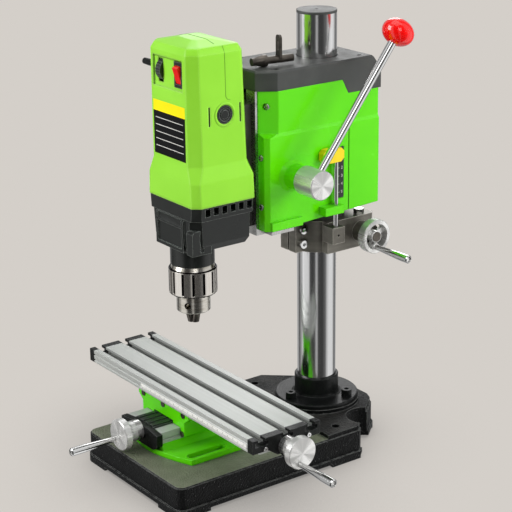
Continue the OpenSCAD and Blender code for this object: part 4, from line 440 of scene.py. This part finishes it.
finishedNodes = {
    "texturedBasePaint": ["base_casting"], "chromedTube": ["column"], "cleanRail": ["cross_rail"],
    "glossBlackPaint": ["column_flange", "flange_bolts", "cross_end_plates", "table_end_caps", "cord_gland"],
    "texturedCharcoal": ["column_cap", "head_cap"], "turnedBrass": ["leadscrew_nuts"], "anodisedTable": ["table"],
    "oiledSteel": ["column_rack", "gib_screws", "return_spring", "lift_shaft", "feed_rack", "depth_arm",
                   "chuck_jaw_1", "chuck_jaw_2", "chuck_jaw_3", "chuck_key"],
    "glossGreenPaint": ["compound_base", "saddle", "right_cover", "left_cover"],
    "satinBlackMoulding": ["cross_way_cover", "gearbox_housing", "brush_caps", "switch_body", "speed_dial"],
    "turnedSteel": ["table_leadscrew", "cross_leadscrew", "slideway", "feed_shaft"],
    "turnedWheelX": ["table_handwheel"], "turnedWheelY": ["cross_handwheel"], "turnedLiftWheel": ["lift_wheel"],
    "turnedHub": ["feed_hub"], "redKnob": ["lever_knob"], "redRocker": ["switch_rocker"],
    "polishedHandle": ["table_crank_handle", "cross_crank_handle", "bracket_screws", "cover_screws",
                       "lift_crank_handle", "feed_lever", "depth_rod", "bearings"],
    "machinedBracketIron": ["column_bracket", "depth_block"], "yellowMoulding": ["depth_pointer"],
    "greyBracketCasting": ["head_casting", "motor_carriage"], "satinLimeMoulding": ["motor_shell"],
    "varnishedWinding": ["stator", "armature"], "chromedChuck": ["spindle", "chuck_body"],
    "flutedSleeveSteel": ["chuck_sleeve"]}
for name, members in finishedNodes.items():
    for member in members:
        materials = nodes[member].data.materials
        if len(materials):
            materials[0] = finish[name]
        else:
            materials.append(finish[name])
left = sorted(set(nodes) - {member for members in finishedNodes.values() for member in members})
print("finishes given to", len(nodes) - len(left), "nodes, left over:", left)




# Mesh helpers: every piece is written straight into the machine's frame
def newPiece(name, mesh, body, look=None):
    piece = bpy.data.objects.new(name, mesh)
    scene.collection.objects.link(piece)
    if look:
        mesh.materials.append(finish[look])
    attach(piece, body)
    return piece


def meshFrom(name, mesh):  # a closed shape, its faces turned outward
    bmesh.ops.recalc_face_normals(mesh, faces=mesh.faces)
    data = bpy.data.meshes.new(name)
    mesh.to_mesh(data)
    mesh.free()
    return data


def circle(mesh, radius, z, sides):
    return [mesh.verts.new((radius * math.cos(a), radius * math.sin(a), z))
            for a in (2 * math.pi * k / sides for k in range(sides))]


def bridge(mesh, rings, looped=False):  # walls from ring to ring, then back to the first one or closed by two lids
    for low, high in zip(rings, rings[1:] + rings[:1] if looped else rings[1:]):
        for k in range(len(low)):
            n = (k + 1) % len(low)
            mesh.faces.new((low[k], low[n], high[n], high[k]))
    if not looped:
        mesh.faces.new(list(reversed(rings[0])))
        mesh.faces.new(rings[-1])


def turned(name, profile, sides, looped=False):  # profile of (radius, height) in millimetres, round Z
    mesh = bmesh.new()
    bridge(mesh, [circle(mesh, r * mm, z * mm, sides) for r, z in profile], looped)
    return meshFrom(name, mesh)


def evaluated(thing):
    return bpy.data.meshes.new_from_object(thing.evaluated_get(bpy.context.evaluated_depsgraph_get()))


def smoothed(data, sharp=None, capsFlat=False):
    for face in data.polygons:
        face.use_smooth = not capsFlat or len(face.vertices) == 4
    if sharp:
        data.set_sharp_from_angle(angle=math.radians(sharp))


# Screws: a pan head with a cross recess, and a cap head with a hexagon socket; recesses are in shares of d
panLook = {"name": "panHead", "d": 7.6, "h": 2.6, "sides": 24, "deep": 0.6, "narrow": 0.6, "above": 1.1,
           "arm": 0.29, "web": 0.075,
           "profile": [(0.2, 0), (1, 0), (1, 0.25), (0.93, 0.55), (0.76, 0.82), (0.45, 0.97), (0.1, 1)]}
capLook = {**panLook, "name": "capHead", "d": 5.6, "h": 2.4, "deep": 0.55, "socket": 0.27,
           "profile": [(0.2, 0), (1, 0), (1, 0.8), (0.9, 1), (0.1, 1)]}


def screwHead(look):
    d, h, name = look["d"], look["h"], look["name"]
    head = bpy.data.objects.new(name, turned(name, [(r * d / 2, z * h) for r, z in look["profile"]], look["sides"]))
    scene.collection.objects.link(head)
    if "socket" in look:
        r = d * look["socket"]
        outline = [(r * math.cos(k * math.pi / 3), r * math.sin(k * math.pi / 3)) for k in range(6)]
    else:
        w, l = d * look["web"], d * look["arm"]
        outline = [(w, w), (w, l), (-w, l), (-w, w), (-l, w), (-l, -w), (-w, -w), (-w, -l), (w, -l), (w, -w),
                   (l, -w), (l, w)]
    cutter = bmesh.new()
    bridge(cutter, [[cutter.verts.new((x * share * mm, y * share * mm, z * mm)) for x, y in outline]
                    for share, z in ((look["narrow"], h * (1 - look["deep"])), (1, h * look["above"]))])
    tool = bpy.data.objects.new("cutter", meshFrom("cutter", cutter))
    scene.collection.objects.link(tool)
    cut = head.modifiers.new("recess", "BOOLEAN")
    cut.operation, cut.object, cut.solver = "DIFFERENCE", tool, "EXACT"
    shaped = evaluated(head)
    head.modifiers.clear()
    head.data = shaped
    bpy.data.objects.remove(tool)
    scene.collection.objects.unlink(head)
    return head


# Geometry Nodes: a tree with named inputs is baked into one plain mesh for each body
intKind, materialKind, objectKind = "NodeSocketInt", "NodeSocketMaterial", "NodeSocketObject"
geometryPort = [("Geometry", "NodeSocketGeometry", None)]


def newBuild(name, inputs):
    tree = bpy.data.node_groups.new(name, "GeometryNodeTree")
    addSockets(tree, "INPUT", geometryPort + inputs + [("Material", materialKind, None)])
    addSockets(tree, "OUTPUT", geometryPort)
    return endSockets(tree)


def geo(tree, kind, feeds, output=0, **looks):
    return put(tree, "GeometryNode" + kind, feeds, **looks).outputs[output]


def endBuild(tree, geometry, material, outputs):
    real = geo(tree, "RealizeInstances", {"Geometry": geometry})
    join(tree, geo(tree, "SetMaterial", {"Geometry": real, "Material": material}), outputs["Geometry"])


def bakeBuild(tree, name, values, body, points=(), joined=False):
    mesh = bpy.data.meshes.new(name + "Places")
    mesh.from_pydata(points, [(k, k + 1) for k in range(len(points) - 1)] if joined else [], [])
    host = bpy.data.objects.new(name + "Host", mesh)
    scene.collection.objects.link(host)
    modifier = host.modifiers.new("build", "NODES")
    modifier.node_group = tree
    for item in tree.interface.items_tree:
        if item.in_out == "INPUT" and item.name in values:
            modifier[item.identifier] = values[item.name]
    host.update_tag()
    bpy.context.view_layer.update()
    baked = evaluated(host)
    host.modifiers.clear()
    bpy.data.objects.remove(host)
    baked.name = name
    return newPiece(name, baked, body)


def newMarks(name, spacing):  # what a row and a ring of marks share
    tree, i, o = newBuild(name, [("Count", intKind, 20), spacing, ("Long every", intKind, 5),
                                 ("Long", floatKind, 0.004), ("Short", floatKind, 0.002),
                                 ("Width", floatKind, 0.0004), ("Height", floatKind, 0.0001),
                                 ("Place", vectorKind, (0, 0, 0)), ("Turn", vectorKind, (0, 0, 0))])
    index = tree.nodes.new("GeometryNodeInputIndex").outputs[0]
    isLong = calc(tree, "LESS_THAN", calc(tree, "MODULO", index, i["Long every"]), 0.5)
    more = calc(tree, "MULTIPLY", isLong, calc(tree, "SUBTRACT", i["Long"], i["Short"]))
    return tree, i, o, index, calc(tree, "ADD", i["Short"], more)


def markBar(tree, middle):  # a unit bar that stands on the row or the ring
    bar = geo(tree, "MeshCube", {"Size": (1.0, 1.0, 1.0)}, "Mesh")
    return geo(tree, "Transform", {"Geometry": bar, "Translation": middle})


def endMarks(tree, marks, i, o):
    placed = geo(tree, "Transform", {"Geometry": marks, "Translation": i["Place"], "Rotation": i["Turn"]})
    endBuild(tree, placed, i["Material"], o)
    return tree


def makeTickRow():  # scale marks along X, standing up from Z = 0, then placed and turned
    tree, i, o, index, length = newMarks("tickRow", ("Pitch", floatKind, 0.002))
    line = geo(tree, "MeshLine", {"Count": i["Count"], "Offset": vectorOf(tree, X=i["Pitch"])}, mode="OFFSET")
    size = vectorOf(tree, X=i["Width"], Y=length, Z=i["Height"])
    marks = geo(tree, "InstanceOnPoints", {"Points": line, "Instance": markBar(tree, (0.0, 0.5, 0.0)), "Scale": size})
    return endMarks(tree, marks, i, o)


def makeTickRing():  # marks, ridges or knurls round a collar whose axis is Z, then placed and turned
    tree, i, o, index, length = newMarks("tickRing", ("Radius", floatKind, 0.016))
    angle = calc(tree, "MULTIPLY", index, calc(tree, "DIVIDE", 2 * math.pi, i["Count"]))
    spun = put(tree, "ShaderNodeVectorRotate", {"Vector": vectorOf(tree, X=i["Radius"]), "Axis": (0.0, 0.0, 1.0),
                                                "Angle": angle}).outputs[0]
    points = geo(tree, "Points", {"Count": i["Count"]})
    moved = geo(tree, "SetPosition", {"Geometry": points, "Position": spun})
    size = vectorOf(tree, X=i["Height"], Y=i["Width"], Z=length)
    marks = geo(tree, "InstanceOnPoints", {"Points": moved, "Instance": markBar(tree, (0.0, 0.0, 0.5)),
                                           "Rotation": vectorOf(tree, Z=angle), "Scale": size})
    return endMarks(tree, marks, i, o)


def makeSetOut():  # one fitting at every given point, all turned alike
    tree, i, o = newBuild("setOut", [("Fitting", objectKind, None), ("Turn", vectorKind, (0, 0, 0)),
                                     ("Size", floatKind, 1.0)])
    fitting = geo(tree, "ObjectInfo", {"Object": i["Fitting"]}, "Geometry")
    size = vectorOf(tree, X=i["Size"], Y=i["Size"], Z=i["Size"])
    placed = geo(tree, "InstanceOnPoints", {"Points": i["Geometry"], "Instance": fitting, "Rotation": i["Turn"],
                                            "Scale": size})
    endBuild(tree, placed, i["Material"], o)
    return tree


def makeBead():  # a fine round bead that follows a line of points
    tree, i, o = newBuild("bead", [("Radius", floatKind, 0.0003), ("Sides", intKind, 6)])
    path = geo(tree, "MeshToCurve", {"Mesh": i["Geometry"]})
    section = geo(tree, "CurvePrimitiveCircle", {"Resolution": i["Sides"], "Radius": i["Radius"]})
    body = geo(tree, "CurveToMesh", {"Curve": path, "Profile Curve": section, "Fill Caps": True})
    endBuild(tree, body, i["Material"], o)
    return tree


tickRow, tickRing, setOut, bead = makeTickRow(), makeTickRing(), makeSetOut(), makeBead()
print("build trees made")


def addMarks(tree, name, look, place, turn, body, material):  # the look's sizes and the place are in millimetres
    sizes = {label: look[key] * mm for label, key in (("Pitch", "pitch"), ("Radius", "radius"), ("Long", "long"),
             ("Short", "short"), ("Width", "wide"), ("Height", "high")) if key in look}
    bakeBuild(tree, name, {**sizes, "Count": look["count"], "Long every": look["every"], "Place": Vector(place) * mm,
                           "Turn": turn, "Material": finish[material]}, body)


def addFittings(name, fitting, turn, size, material, body, points):
    return bakeBuild(setOut, name, {"Fitting": fitting, "Turn": turn, "Size": size, "Material": finish[material]},
                     body, [Vector(p) * mm for p in points])


def plate(name, low, high, thick, way, body, material, rounded=0.0, steps=4):  # thin sheet on an upright face
    a, b, c, d = (Vector(v) * mm for v in (low, (high[0], high[1], low[2]), high, (low[0], low[1], high[2])))
    outline = []
    for here, before, after in ((a, d, b), (b, a, c), (c, b, d), (d, c, a)):
        u, v = (before - here).normalized(), (after - here).normalized()
        for w in (quarter * k / steps for k in range(steps + 1 if rounded else 1)):
            outline.append(here + (u * (1 - math.sin(w)) + v * (1 - math.cos(w))) * rounded * mm)
    mesh = bmesh.new()
    lift = Vector(way) * thick * mm
    bridge(mesh, [[mesh.verts.new(p + out) for p in outline] for out in (Vector(), lift)])
    return newPiece(name, meshFrom(name, mesh), body, material)


# Ruler on the front edge of the table
ruler = {"from": -66, "to": 152, "low": 90.4, "high": 97.2, "front": -219.9, "thick": 0.25, "inset": 2, "proud": 0.02,
         "marks": {"count": 108, "pitch": 2.0, "every": 5, "long": 5.2, "short": 3.2, "wide": 0.5, "high": 0.06}}
plate("rulerBand", (ruler["from"], ruler["front"], ruler["low"]), (ruler["to"], ruler["front"], ruler["high"]),
      ruler["thick"], (0, -1, 0), "table", "whiteMarks")
addMarks(tickRow, "rulerMarks", ruler["marks"],
         (ruler["from"] + ruler["inset"], ruler["front"] - ruler["thick"] - ruler["proud"], ruler["low"]),
         (quarter, 0, 0), "table", "blackMarks")

# Graduated collars and knurled bands behind the two table wheels, set back from the wheel's end
collar = {"Marks": {"at": 14.0, "count": 40, "radius": 12.0, "every": 5, "long": 4.2, "short": 2.4, "wide": 0.35,
                    "high": 0.12, "finish": "blackMarks"},
          "Knurl": {"at": 1.6, "count": 60, "radius": 12.0, "every": 1, "long": 7.0, "short": 7.0, "wide": 0.62,
                    "high": 1.1, "finish": "polishedHandle"}}
for name, body, place, turn, along in (
        ("tableCollar", "table_screw", (164, -172.4, 87.7), (0, quarter, 0), (1, 0, 0)),
        ("crossCollar", "cross_screw", (-23, -251.4, 61), (quarter, 0, 0), (0, -1, 0))):
    for part, look in collar.items():
        addMarks(tickRing, name + part, look, Vector(place) + Vector(along) * look["at"], turn, body, look["finish"])
print("ruler and collars made")

# Depth scale on the right cover
depthScale = {"face": 48, "front": -8.6, "rear": 2.6, "low": 319, "high": 382, "thick": 0.6, "rim": 1,
              "round": 1.0, "zero": 376, "inset": 0.6, "proud": 0.02, "figures": 6, "figure": 5.0, "figureIn": 3.0,
              "figureOut": 0.05, "figureThick": 0.03, "rimShare": 0.6,
              "marks": {"count": 27, "pitch": 2.0, "every": 5, "long": 4.0, "short": 2.2, "wide": 0.45, "high": 0.08}}
s = depthScale
plate("scaleFrame", (s["face"], s["front"] - s["rim"], s["low"] - s["rim"]),
      (s["face"], s["rear"] + s["rim"], s["high"] + s["rim"]), s["thick"] * s["rimShare"], (1, 0, 0), "head",
      "glossGreenPaint", s["round"])
plate("scaleBand", (s["face"], s["front"], s["low"]), (s["face"], s["rear"], s["high"]), s["thick"], (1, 0, 0),
      "head", "blackMarks", s["round"])
addMarks(tickRow, "scaleMarks", s["marks"], (s["face"] + s["thick"] + s["proud"], s["front"] + s["inset"], s["zero"]),
         (0, quarter, 0), "head", "whiteMarks")


def figure(text, size, place, across, up, body, name):  # one plain number, flat on a face
    curve = bpy.data.curves.new(name, "FONT")
    curve.body, curve.size, curve.align_x, curve.align_y = text, size * mm, "CENTER", "CENTER"
    curve.extrude = s["figureThick"] * mm
    maker = bpy.data.objects.new(name + "Curve", curve)
    scene.collection.objects.link(maker)
    bpy.context.view_layer.update()
    data = evaluated(maker)
    bpy.data.objects.remove(maker)
    x, y = Vector(across), Vector(up)
    turn = Matrix((x, y, x.cross(y))).transposed().to_4x4()
    data.transform(Matrix.Translation(Vector(place) * mm) @ turn)
    data.materials.clear()
    return newPiece(name, data, body, "whiteMarks")


for k in range(s["figures"]):
    z = s["zero"] - k * s["marks"]["every"] * s["marks"]["pitch"]
    figure(str(k), s["figure"], (s["face"] + s["thick"] + s["figureOut"], s["rear"] - s["figureIn"], z),
           (0, 1, 0), (0, 0, 1), "head", "scaleFigure" + str(k))
print("depth scale made")

# Label on the front of the motor, laid on the shell: a yellow band over a bare black panel with plain rules
label = {"half": 31.5, "low": 394, "split": 444, "high": 456.5, "lift": 0.22, "back": 0.05, "across": 12, "rise": 14,
         "eye": -0.4, "miss": -0.2105, "rules": 5, "first": 8, "pitch": 8.2, "inset": 4, "tall": 0.7, "ruleLift": 0.3}
shell = bmesh.new()
shell.from_mesh(nodes["motor_shell"].data)
shellTree = BVHTree.FromBMesh(shell)
shell.free()


def laidOn(name, half, low, high, material, lift=label["lift"]):
    mesh = bmesh.new()
    grid = []
    for j in range(label["rise"] + 1):
        z = (low + (high - low) * j / label["rise"]) * mm
        row = []
        for i in range(label["across"] + 1):
            x = (-half + 2 * half * i / label["across"]) * mm
            hit = shellTree.ray_cast(Vector((x, label["eye"], z)), Vector((0, 1, 0)))[0]
            y = hit.y if hit else label["miss"]
            row.append([mesh.verts.new((x, y + out * mm, z)) for out in (-lift, label["back"])])
        grid.append(row)
    for lower, upper in zip(grid, grid[1:]):
        for a, b, c, d in zip(lower, lower[1:], upper[1:], upper):
            mesh.faces.new((a[0], b[0], c[0], d[0]))
            mesh.faces.new((d[1], c[1], b[1], a[1]))
    rim = grid[0] + [row[-1] for row in grid[1:]] + grid[-1][-2::-1] + [row[0] for row in grid[-2:0:-1]]
    for here, there in zip(rim, rim[1:] + rim[:1]):
        mesh.faces.new((here[0], here[1], there[1], there[0]))
    newPiece(name, meshFrom(name, mesh), "motor", material)


laidOn("labelPanel", label["half"], label["low"], label["split"], "labelBlack")
laidOn("labelBand", label["half"], label["split"], label["high"], "labelYellow")
for k in range(label["rules"]):
    z = label["split"] - label["first"] - k * label["pitch"]
    laidOn("labelRule" + str(k), label["half"] - label["inset"], z, z + label["tall"], "whiteMarks",
           label["ruleLift"])
print("motor label made")

# Moulding lines of the motor shell: down both sides with a turn at the foot, and over the crown
seam = {"radius": 0.32, "sides": 6, "proud": 0.05, "far": 90, "top": (-164.7, 522), "foot": (-164.2, 467),
        "turn": 6, "turnStep": 15, "steps": 14, "crown": (34, -171, 600), "crownSteps": 24}


def shellLine(name, starts, way):  # rays from the starts find the shell, and a bead runs along the hits
    hits = [shellTree.ray_cast(Vector(start) * mm, Vector(way))[0] for start in starts]
    points = [hit - Vector(way) * seam["proud"] * mm for hit in hits if hit]
    bakeBuild(bead, name, {"Radius": seam["radius"] * mm, "Sides": seam["sides"], "Material": finish["shellSeam"]},
              "motor", points, True)


def between(a, b, n):
    return [Vector(a).lerp(Vector(b), k / n) for k in range(n + 1)]


sideNames = {-1: "Left", 1: "Right"}
y, z, r = *seam["foot"], seam["turn"]
for side, sideName in sideNames.items():
    x = side * seam["far"]
    bends = (math.radians(a) for a in range(0, 91, seam["turnStep"]))
    corner = [(x, y + r - r * math.cos(w), z - r * math.sin(w)) for w in bends]
    shellLine("sideSeam" + sideName, between((x, *seam["top"]), (x, y, z + 1), seam["steps"]) + corner, (-side, 0, 0))
x, y, z = seam["crown"]
shellLine("crownSeam", between((-x, y, z), (x, y, z), seam["crownSteps"]), (0, 0, -1))

# Rims round the two brush caps, and dark plates as painted shade in the mouths of the slots beside them; rings are
# (radius, height)
brush = {"x": 44.5, "y": -166, "z": 445.2, "slotAt": 21, "wide": 2.6, "tall": 22.6, "thick": 0.12, "round": 1.2,
         "sides": 48, "rings": [
             ("brushRim", "satinLimeMoulding",
              [(11.2, -1.5), (14.4, -1.5), (14.4, 0.44), (13.9, 1.1), (11.6, 1.1), (11.2, 0.66)]),
             ("brushCollar", "labelBlack", [(9.05, -1.2), (10.9, -1.2), (10.9, 0.4), (10.6, 0.7), (9.05, 0.7)])]}
for side, sideName in sideNames.items():
    x = side * brush["x"]
    place = Matrix.Translation(Vector((x, brush["y"], brush["z"])) * mm) @ Matrix.Rotation(side * quarter, 4, "Y")
    for name, material, section in brush["rings"]:
        data = turned(name + sideName, section, brush["sides"], True)
        data.transform(place)
        smoothed(data)
        newPiece(name + sideName, data, "motor", material)
    for way in (-1, 1):
        y, z = brush["y"] + way * brush["slotAt"], brush["z"]
        w, h = brush["wide"] / 2, brush["tall"] / 2
        # dark plate: painted shade in a slot's mouth
        plate("slotMouth" + str((side + 1) + (way + 1) // 2), (x, y - w, z - h), (x, y + w, z + h), brush["thick"],
              (side, 0, 0), "motor", "labelBlack", brush["round"])
print("shell lines and rims made")

# Screws: cross-recessed on the covers and down the cap's wells, socket heads on the table's end caps
screws = {"cover": [(x, y, z) for x in (-38, 38) for y, z in ((-111, 325), (-111, 384), (-102, 443))],
          "well": [(x, y) for x in (-35, 35) for y in (-88, 36)], "wellFoot": 470, "wellTop": 484,
          "rim": [(3.05, -0.3), (5.0, -0.3), (5.0, 0.12), (3.05, 0.12)], "rimSides": 32, "wellSize": 0.9,
          "endCap": [(-203, 91.9), (-141.8, 91.9)], "right": 164, "left": -186}
panHead, capHead = screwHead(panLook), screwHead(capLook)
coverHeads = addFittings("coverScrewHeads", panHead, (quarter, 0, 0), 1.0, "turnedSteel", "head", screws["cover"])
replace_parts(coverHeads, "cover_screws")
addFittings("capWellScrews", panHead, (0, 0, 0), screws["wellSize"], "turnedSteel", "head",
            [(x, y, screws["wellFoot"]) for x, y in screws["well"]])
# Dark ring at the top of a well: painted shade that makes the hole look wider and deeper
wellRim = bpy.data.objects.new("wellRim", turned("wellRim", screws["rim"], screws["rimSides"], True))
addFittings("capWellRims", wellRim, (0, 0, 0), 1.0, "blackMarks", "head",
            [(x, y, screws["wellTop"]) for x, y in screws["well"]])
for name, way, x in (("endCapScrews", quarter, screws["right"]), ("endCapScrewsLeft", -quarter, screws["left"])):
    addFittings(name, capHead, (0, way, 0), 1.0, "polishedHandle", "table", [(x, y, z) for y, z in screws["endCap"]])
print("screws made")

# Feed lever and its ball knob, turned along the lever's own axis
feedHandle = {"pivot": (-74, 359), "rod": 5.0, "from": 9, "bite": 9, "bevel": 0.6, "wide": 19.5, "tall": 15.5,
              "land": 6.6, "landBevel": 0.8, "top": 0.03, "sides": 64, "rows": 36, "sharp": 40}
h = feedHandle
leverLow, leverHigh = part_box("feed_lever")
knobLow, knobHigh = (Vector(v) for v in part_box("lever_knob"))
pivot = Vector(((leverLow[0] + leverHigh[0]) / 2, h["pivot"][0] * mm, h["pivot"][1] * mm))
reach = (knobLow + knobHigh) / 2 - pivot
reach.x = 0
leverPlace = Matrix.Translation(pivot) @ reach.normalized().to_track_quat("Z", "X").to_matrix().to_4x4()
knobAt = reach.length / mm
startAt = math.asin(h["land"] / h["wide"])
span = math.pi - h["top"] - startAt
ball = [(h["land"] - h["landBevel"], knobAt - h["tall"] * math.cos(startAt))]
ball += [(h["wide"] * math.sin(w), knobAt - h["tall"] * math.cos(w))
         for w in (startAt + span * k / h["rows"] for k in range(h["rows"] + 1))]
rodEnd = knobAt - h["bite"]
rod = [(h["rod"] - h["bevel"], h["from"]), (h["rod"], h["from"] + h["bevel"]), (h["rod"], rodEnd),
       (h["rod"] - h["bevel"], rodEnd + h["bevel"])]
for name, profile, material, replaced in (("ballKnob", ball, "redKnob", "lever_knob"),
                                          ("feedLeverRod", rod, "polishedHandle", "feed_lever")):
    data = turned(name, profile, h["sides"])
    data.transform(leverPlace)
    smoothed(data, h["sharp"], True)
    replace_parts(newPiece(name, data, "feed", material), replaced)
print("lever and knob made")

# Fluted chuck sleeve with the key's teeth round its lower edge; inside rows are (height, radius)
sleeve = {"axis": (0, -184), "bore": 17.2, "outer": 28.5, "bevel": 1.5, "lip": 1.1, "tall": 32, "skirt": 26,
          "skirtBore": 27.15, "relief": [(23, 17.2), (23, 22), (14, 22), (5, 17.2)],  # room for the open jaws
          "flutes": 14, "turn": 18.4, "cut": 1.6, "deep": 1.05, "run": 0.8, "lands": 7,
          "across": (-1, -0.95, -0.7, -0.35, 0, 0.35, 0.7, 0.95, 1),  # points over a flute, in shares of half of it
          "teeth": 28, "tooth": 1.3, "toothTall": 1.9, "step": 0.1, "sharp": 24}


def makeSleeve(q):
    pitch, half = 360 / q["flutes"], math.degrees(q["cut"] / q["outer"])
    bearings = []  # angle, and share of the flute's depth there
    for middle in (q["turn"] + k * pitch for k in range(q["flutes"])):
        bearings += [(middle + v * half, math.sqrt(1 - v * v)) for v in q["across"]]
        bearings += [(middle + half + (pitch - 2 * half) * j / q["lands"], 0) for j in range(1, q["lands"])]
    tall, bevel, outer, inner, step = q["tall"], q["bevel"], q["outer"], q["skirtBore"], q["step"]
    ledge = q["skirt"]
    # height, radius, share of the flutes, share of the teeth
    rows = [(0, outer - bevel, 0, 1), (bevel, outer, 0, 1), (q["toothTall"], outer, 0, 1),
            (q["toothTall"] + step, outer, 0, 0), (2 * bevel, outer, 0, 0), (2 * bevel + q["run"], outer, 1, 0),
            (tall - 2 * bevel, outer, 1, 0), (tall - 2 * bevel + q["run"], outer, 0, 0), (tall - bevel, outer, 0, 0),
            (tall, outer - q["lip"], 0, 0)]
    rows += [(z, r, 0, 0) for z, r in [
        (tall, inner), (ledge + step, inner), (ledge + step, inner - 1), (ledge - step, inner - 1),
        (ledge - step, q["bore"]), *q["relief"], (0, q["bore"])]]
    mesh = bmesh.new()
    rings = []
    for z, r, flute, teeth in rows:
        ring = []
        for a, dip in bearings:
            notch = q["tooth"] if teeth and math.cos(math.radians(a * q["teeth"])) > 0 else 0
            w, reach = math.radians(a), (r - dip * q["deep"] * flute - notch) * mm
            ring.append(mesh.verts.new((reach * math.cos(w), reach * math.sin(w), z * mm)))
        rings.append(ring)
    bridge(mesh, rings, True)
    data = meshFrom("flutedSleeve", mesh)
    data.transform(Matrix.Translation((q["axis"][0] * mm, q["axis"][1] * mm, sleeveFloor)))
    smoothed(data, q["sharp"])
    return newPiece("flutedSleeve", data, "sleeve", "flutedSleeveSteel")


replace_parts(makeSleeve(sleeve), "chuck_sleeve")
print("chuck sleeve made")


# Floor: the camera sees its plain colour with a painted contact shadow, metal sees the studio through it
def shaderOf(tree, kind, feeds):
    return put(tree, "ShaderNode" + kind, feeds).outputs[0]


floorLook = {"colour": srgb(212, 207, 201), "half": 4.0, "contact": 0.16, "open": (0.15, 1.0), "shade": 0.7,
             "under": (0.1, 0.1, 0.1, 1.0), "samples": 8}
floorMesh = bpy.data.meshes.new("paleFloor")
h = floorLook["half"]
floorMesh.from_pydata([(-h, -h, 0), (h, -h, 0), (h, h, 0), (-h, h, 0)], [], [(0, 1, 2, 3)])
floor = bpy.data.objects.new("paleFloor", floorMesh)
scene.collection.objects.link(floor)


def makeFloorFinish(look):
    material = bpy.data.materials.new("paleSweep")
    material.use_nodes = True
    t = material.node_tree
    t.nodes.clear()
    # painted contact shadow: the plain colour darkens towards the shadow colour where ambient occlusion finds the
    # machine near
    near = put(t, "ShaderNodeAmbientOcclusion", {"Distance": look["contact"]}, samples=look["samples"]).outputs["AO"]
    tint = mixColours(t, ramp(t, near, *look["open"], look["shade"], 0.0), look["colour"], look["under"])
    matt = shaderOf(t, "BsdfDiffuse", {"Color": look["colour"]})
    plain = shaderOf(t, "Emission", {"Color": tint, "Strength": 1.0})
    path = t.nodes.new("ShaderNodeLightPath").outputs
    seen = shaderOf(t, "MixShader", {0: path["Is Camera Ray"], 1: matt, 2: plain})
    mixed = shaderOf(t, "MixShader", {0: path["Is Glossy Ray"], 1: seen, 2: shaderOf(t, "BsdfTransparent", {})})
    t.links.new(mixed, t.nodes.new("ShaderNodeOutputMaterial").inputs["Surface"])
    return material


floorMesh.materials.append(makeFloorFinish(floorLook))

# The studio that metal shows: a dim room with bright panels, each at a bearing with a width and a softness
worldLook = {"seen": srgb(212, 207, 201), "light": (0.93, 0.94, 0.96, 1.0), "strength": 0.36, "dim": 0.06,
             "panels": [(-106, 17, 14, 0.95), (51, 15, 24, 0.95), (-38, 3, 7, 0.5), (150, 34, 16, 0.4),
                        (-142, 4, 12, 0.4), (10, 3, 9, 0.08), (90, 10, 12, 0.14)],
             "overhead": (0.45, 0.8, 0, 0.22), "upper": (0, 0.15, 1, 0.8)}  # upper keeps the table's top below white


def makeWorld(look):
    world = bpy.data.worlds.new("studio")
    world.use_nodes = True
    scene.world = world
    t = world.node_tree
    t.nodes.clear()
    path = t.nodes.new("ShaderNodeLightPath").outputs
    way = partsOf(t, t.nodes.new("ShaderNodeTexCoord").outputs["Generated"])
    bearing = calc(t, "ARCTAN2", way["Y"], way["X"])
    total = look["dim"]
    for at, half, soft, level in look["panels"]:
        off = calc(t, "WRAP", calc(t, "SUBTRACT", bearing, math.radians(at)), math.pi, -math.pi)
        bright, gone = math.radians(half), math.radians(half + soft)
        lit = ramp(t, calc(t, "ABSOLUTE", off), bright, gone, level, 0.0, "SMOOTHSTEP")
        total = calc(t, "ADD", total, lit)
    total = calc(t, "MAXIMUM", total, ramp(t, way["Z"], *look["overhead"]))
    total = calc(t, "MINIMUM", total, ramp(t, way["Z"], *look["upper"]))
    room = put(t, "ShaderNodeCombineColor", {0: total, 1: total, 2: total}).outputs[0]
    soft, shown, studio = (shaderOf(t, "Background", {"Color": colour, "Strength": strength}) for colour, strength in
                           ((look["light"], look["strength"]), (look["seen"], 1.0), (room, 1.0)))
    mixed = shaderOf(t, "MixShader", {0: path["Is Glossy Ray"], 1: soft, 2: studio})
    mixed = shaderOf(t, "MixShader", {0: path["Is Camera Ray"], 1: mixed, 2: shown})
    t.links.new(mixed, t.nodes.new("ShaderNodeOutputWorld").inputs["Surface"])


makeWorld(worldLook)

# Lamps: place, aim, width and height, watts, and whether metal mirrors the lamp
lampLooks = {"frontBox": ((-0.7, -1.75, 1.15), (0, -0.1, 0.3), 1.0, 1.2, 28, True),
             "sideBox": ((1.45, 1.05, 1.15), (0, -0.05, 0.3), 1.1, 1.3, 32, False),  # the table stays below white
             "nearBox": ((1.5, -0.7, 1.3), (0, -0.05, 0.3), 0.7, 0.9, 5, True),
             "topBox": ((0.0, -0.1, 2.0), (0, -0.1, 0.2), 1.4, 1.4, 6.5, True),
             "rearBox": ((-1.3, 1.1, 1.3), (0, 0, 0.3), 0.8, 1.2, 9, True)}
for name, (place, aim, wide, tall, watts, mirrored) in lampLooks.items():
    data = bpy.data.lights.new(name, "AREA")
    data.shape, data.size, data.size_y, data.energy = "RECTANGLE", wide, tall, watts
    lamp = bpy.data.objects.new(name, data)
    turn = (Vector(aim) - Vector(place)).to_track_quat("-Z", "Y").to_matrix().to_4x4()
    lamp.matrix_world = Matrix.Translation(place) @ turn
    lamp.visible_glossy = mirrored
    scene.collection.objects.link(lamp)
print("floor and light set")
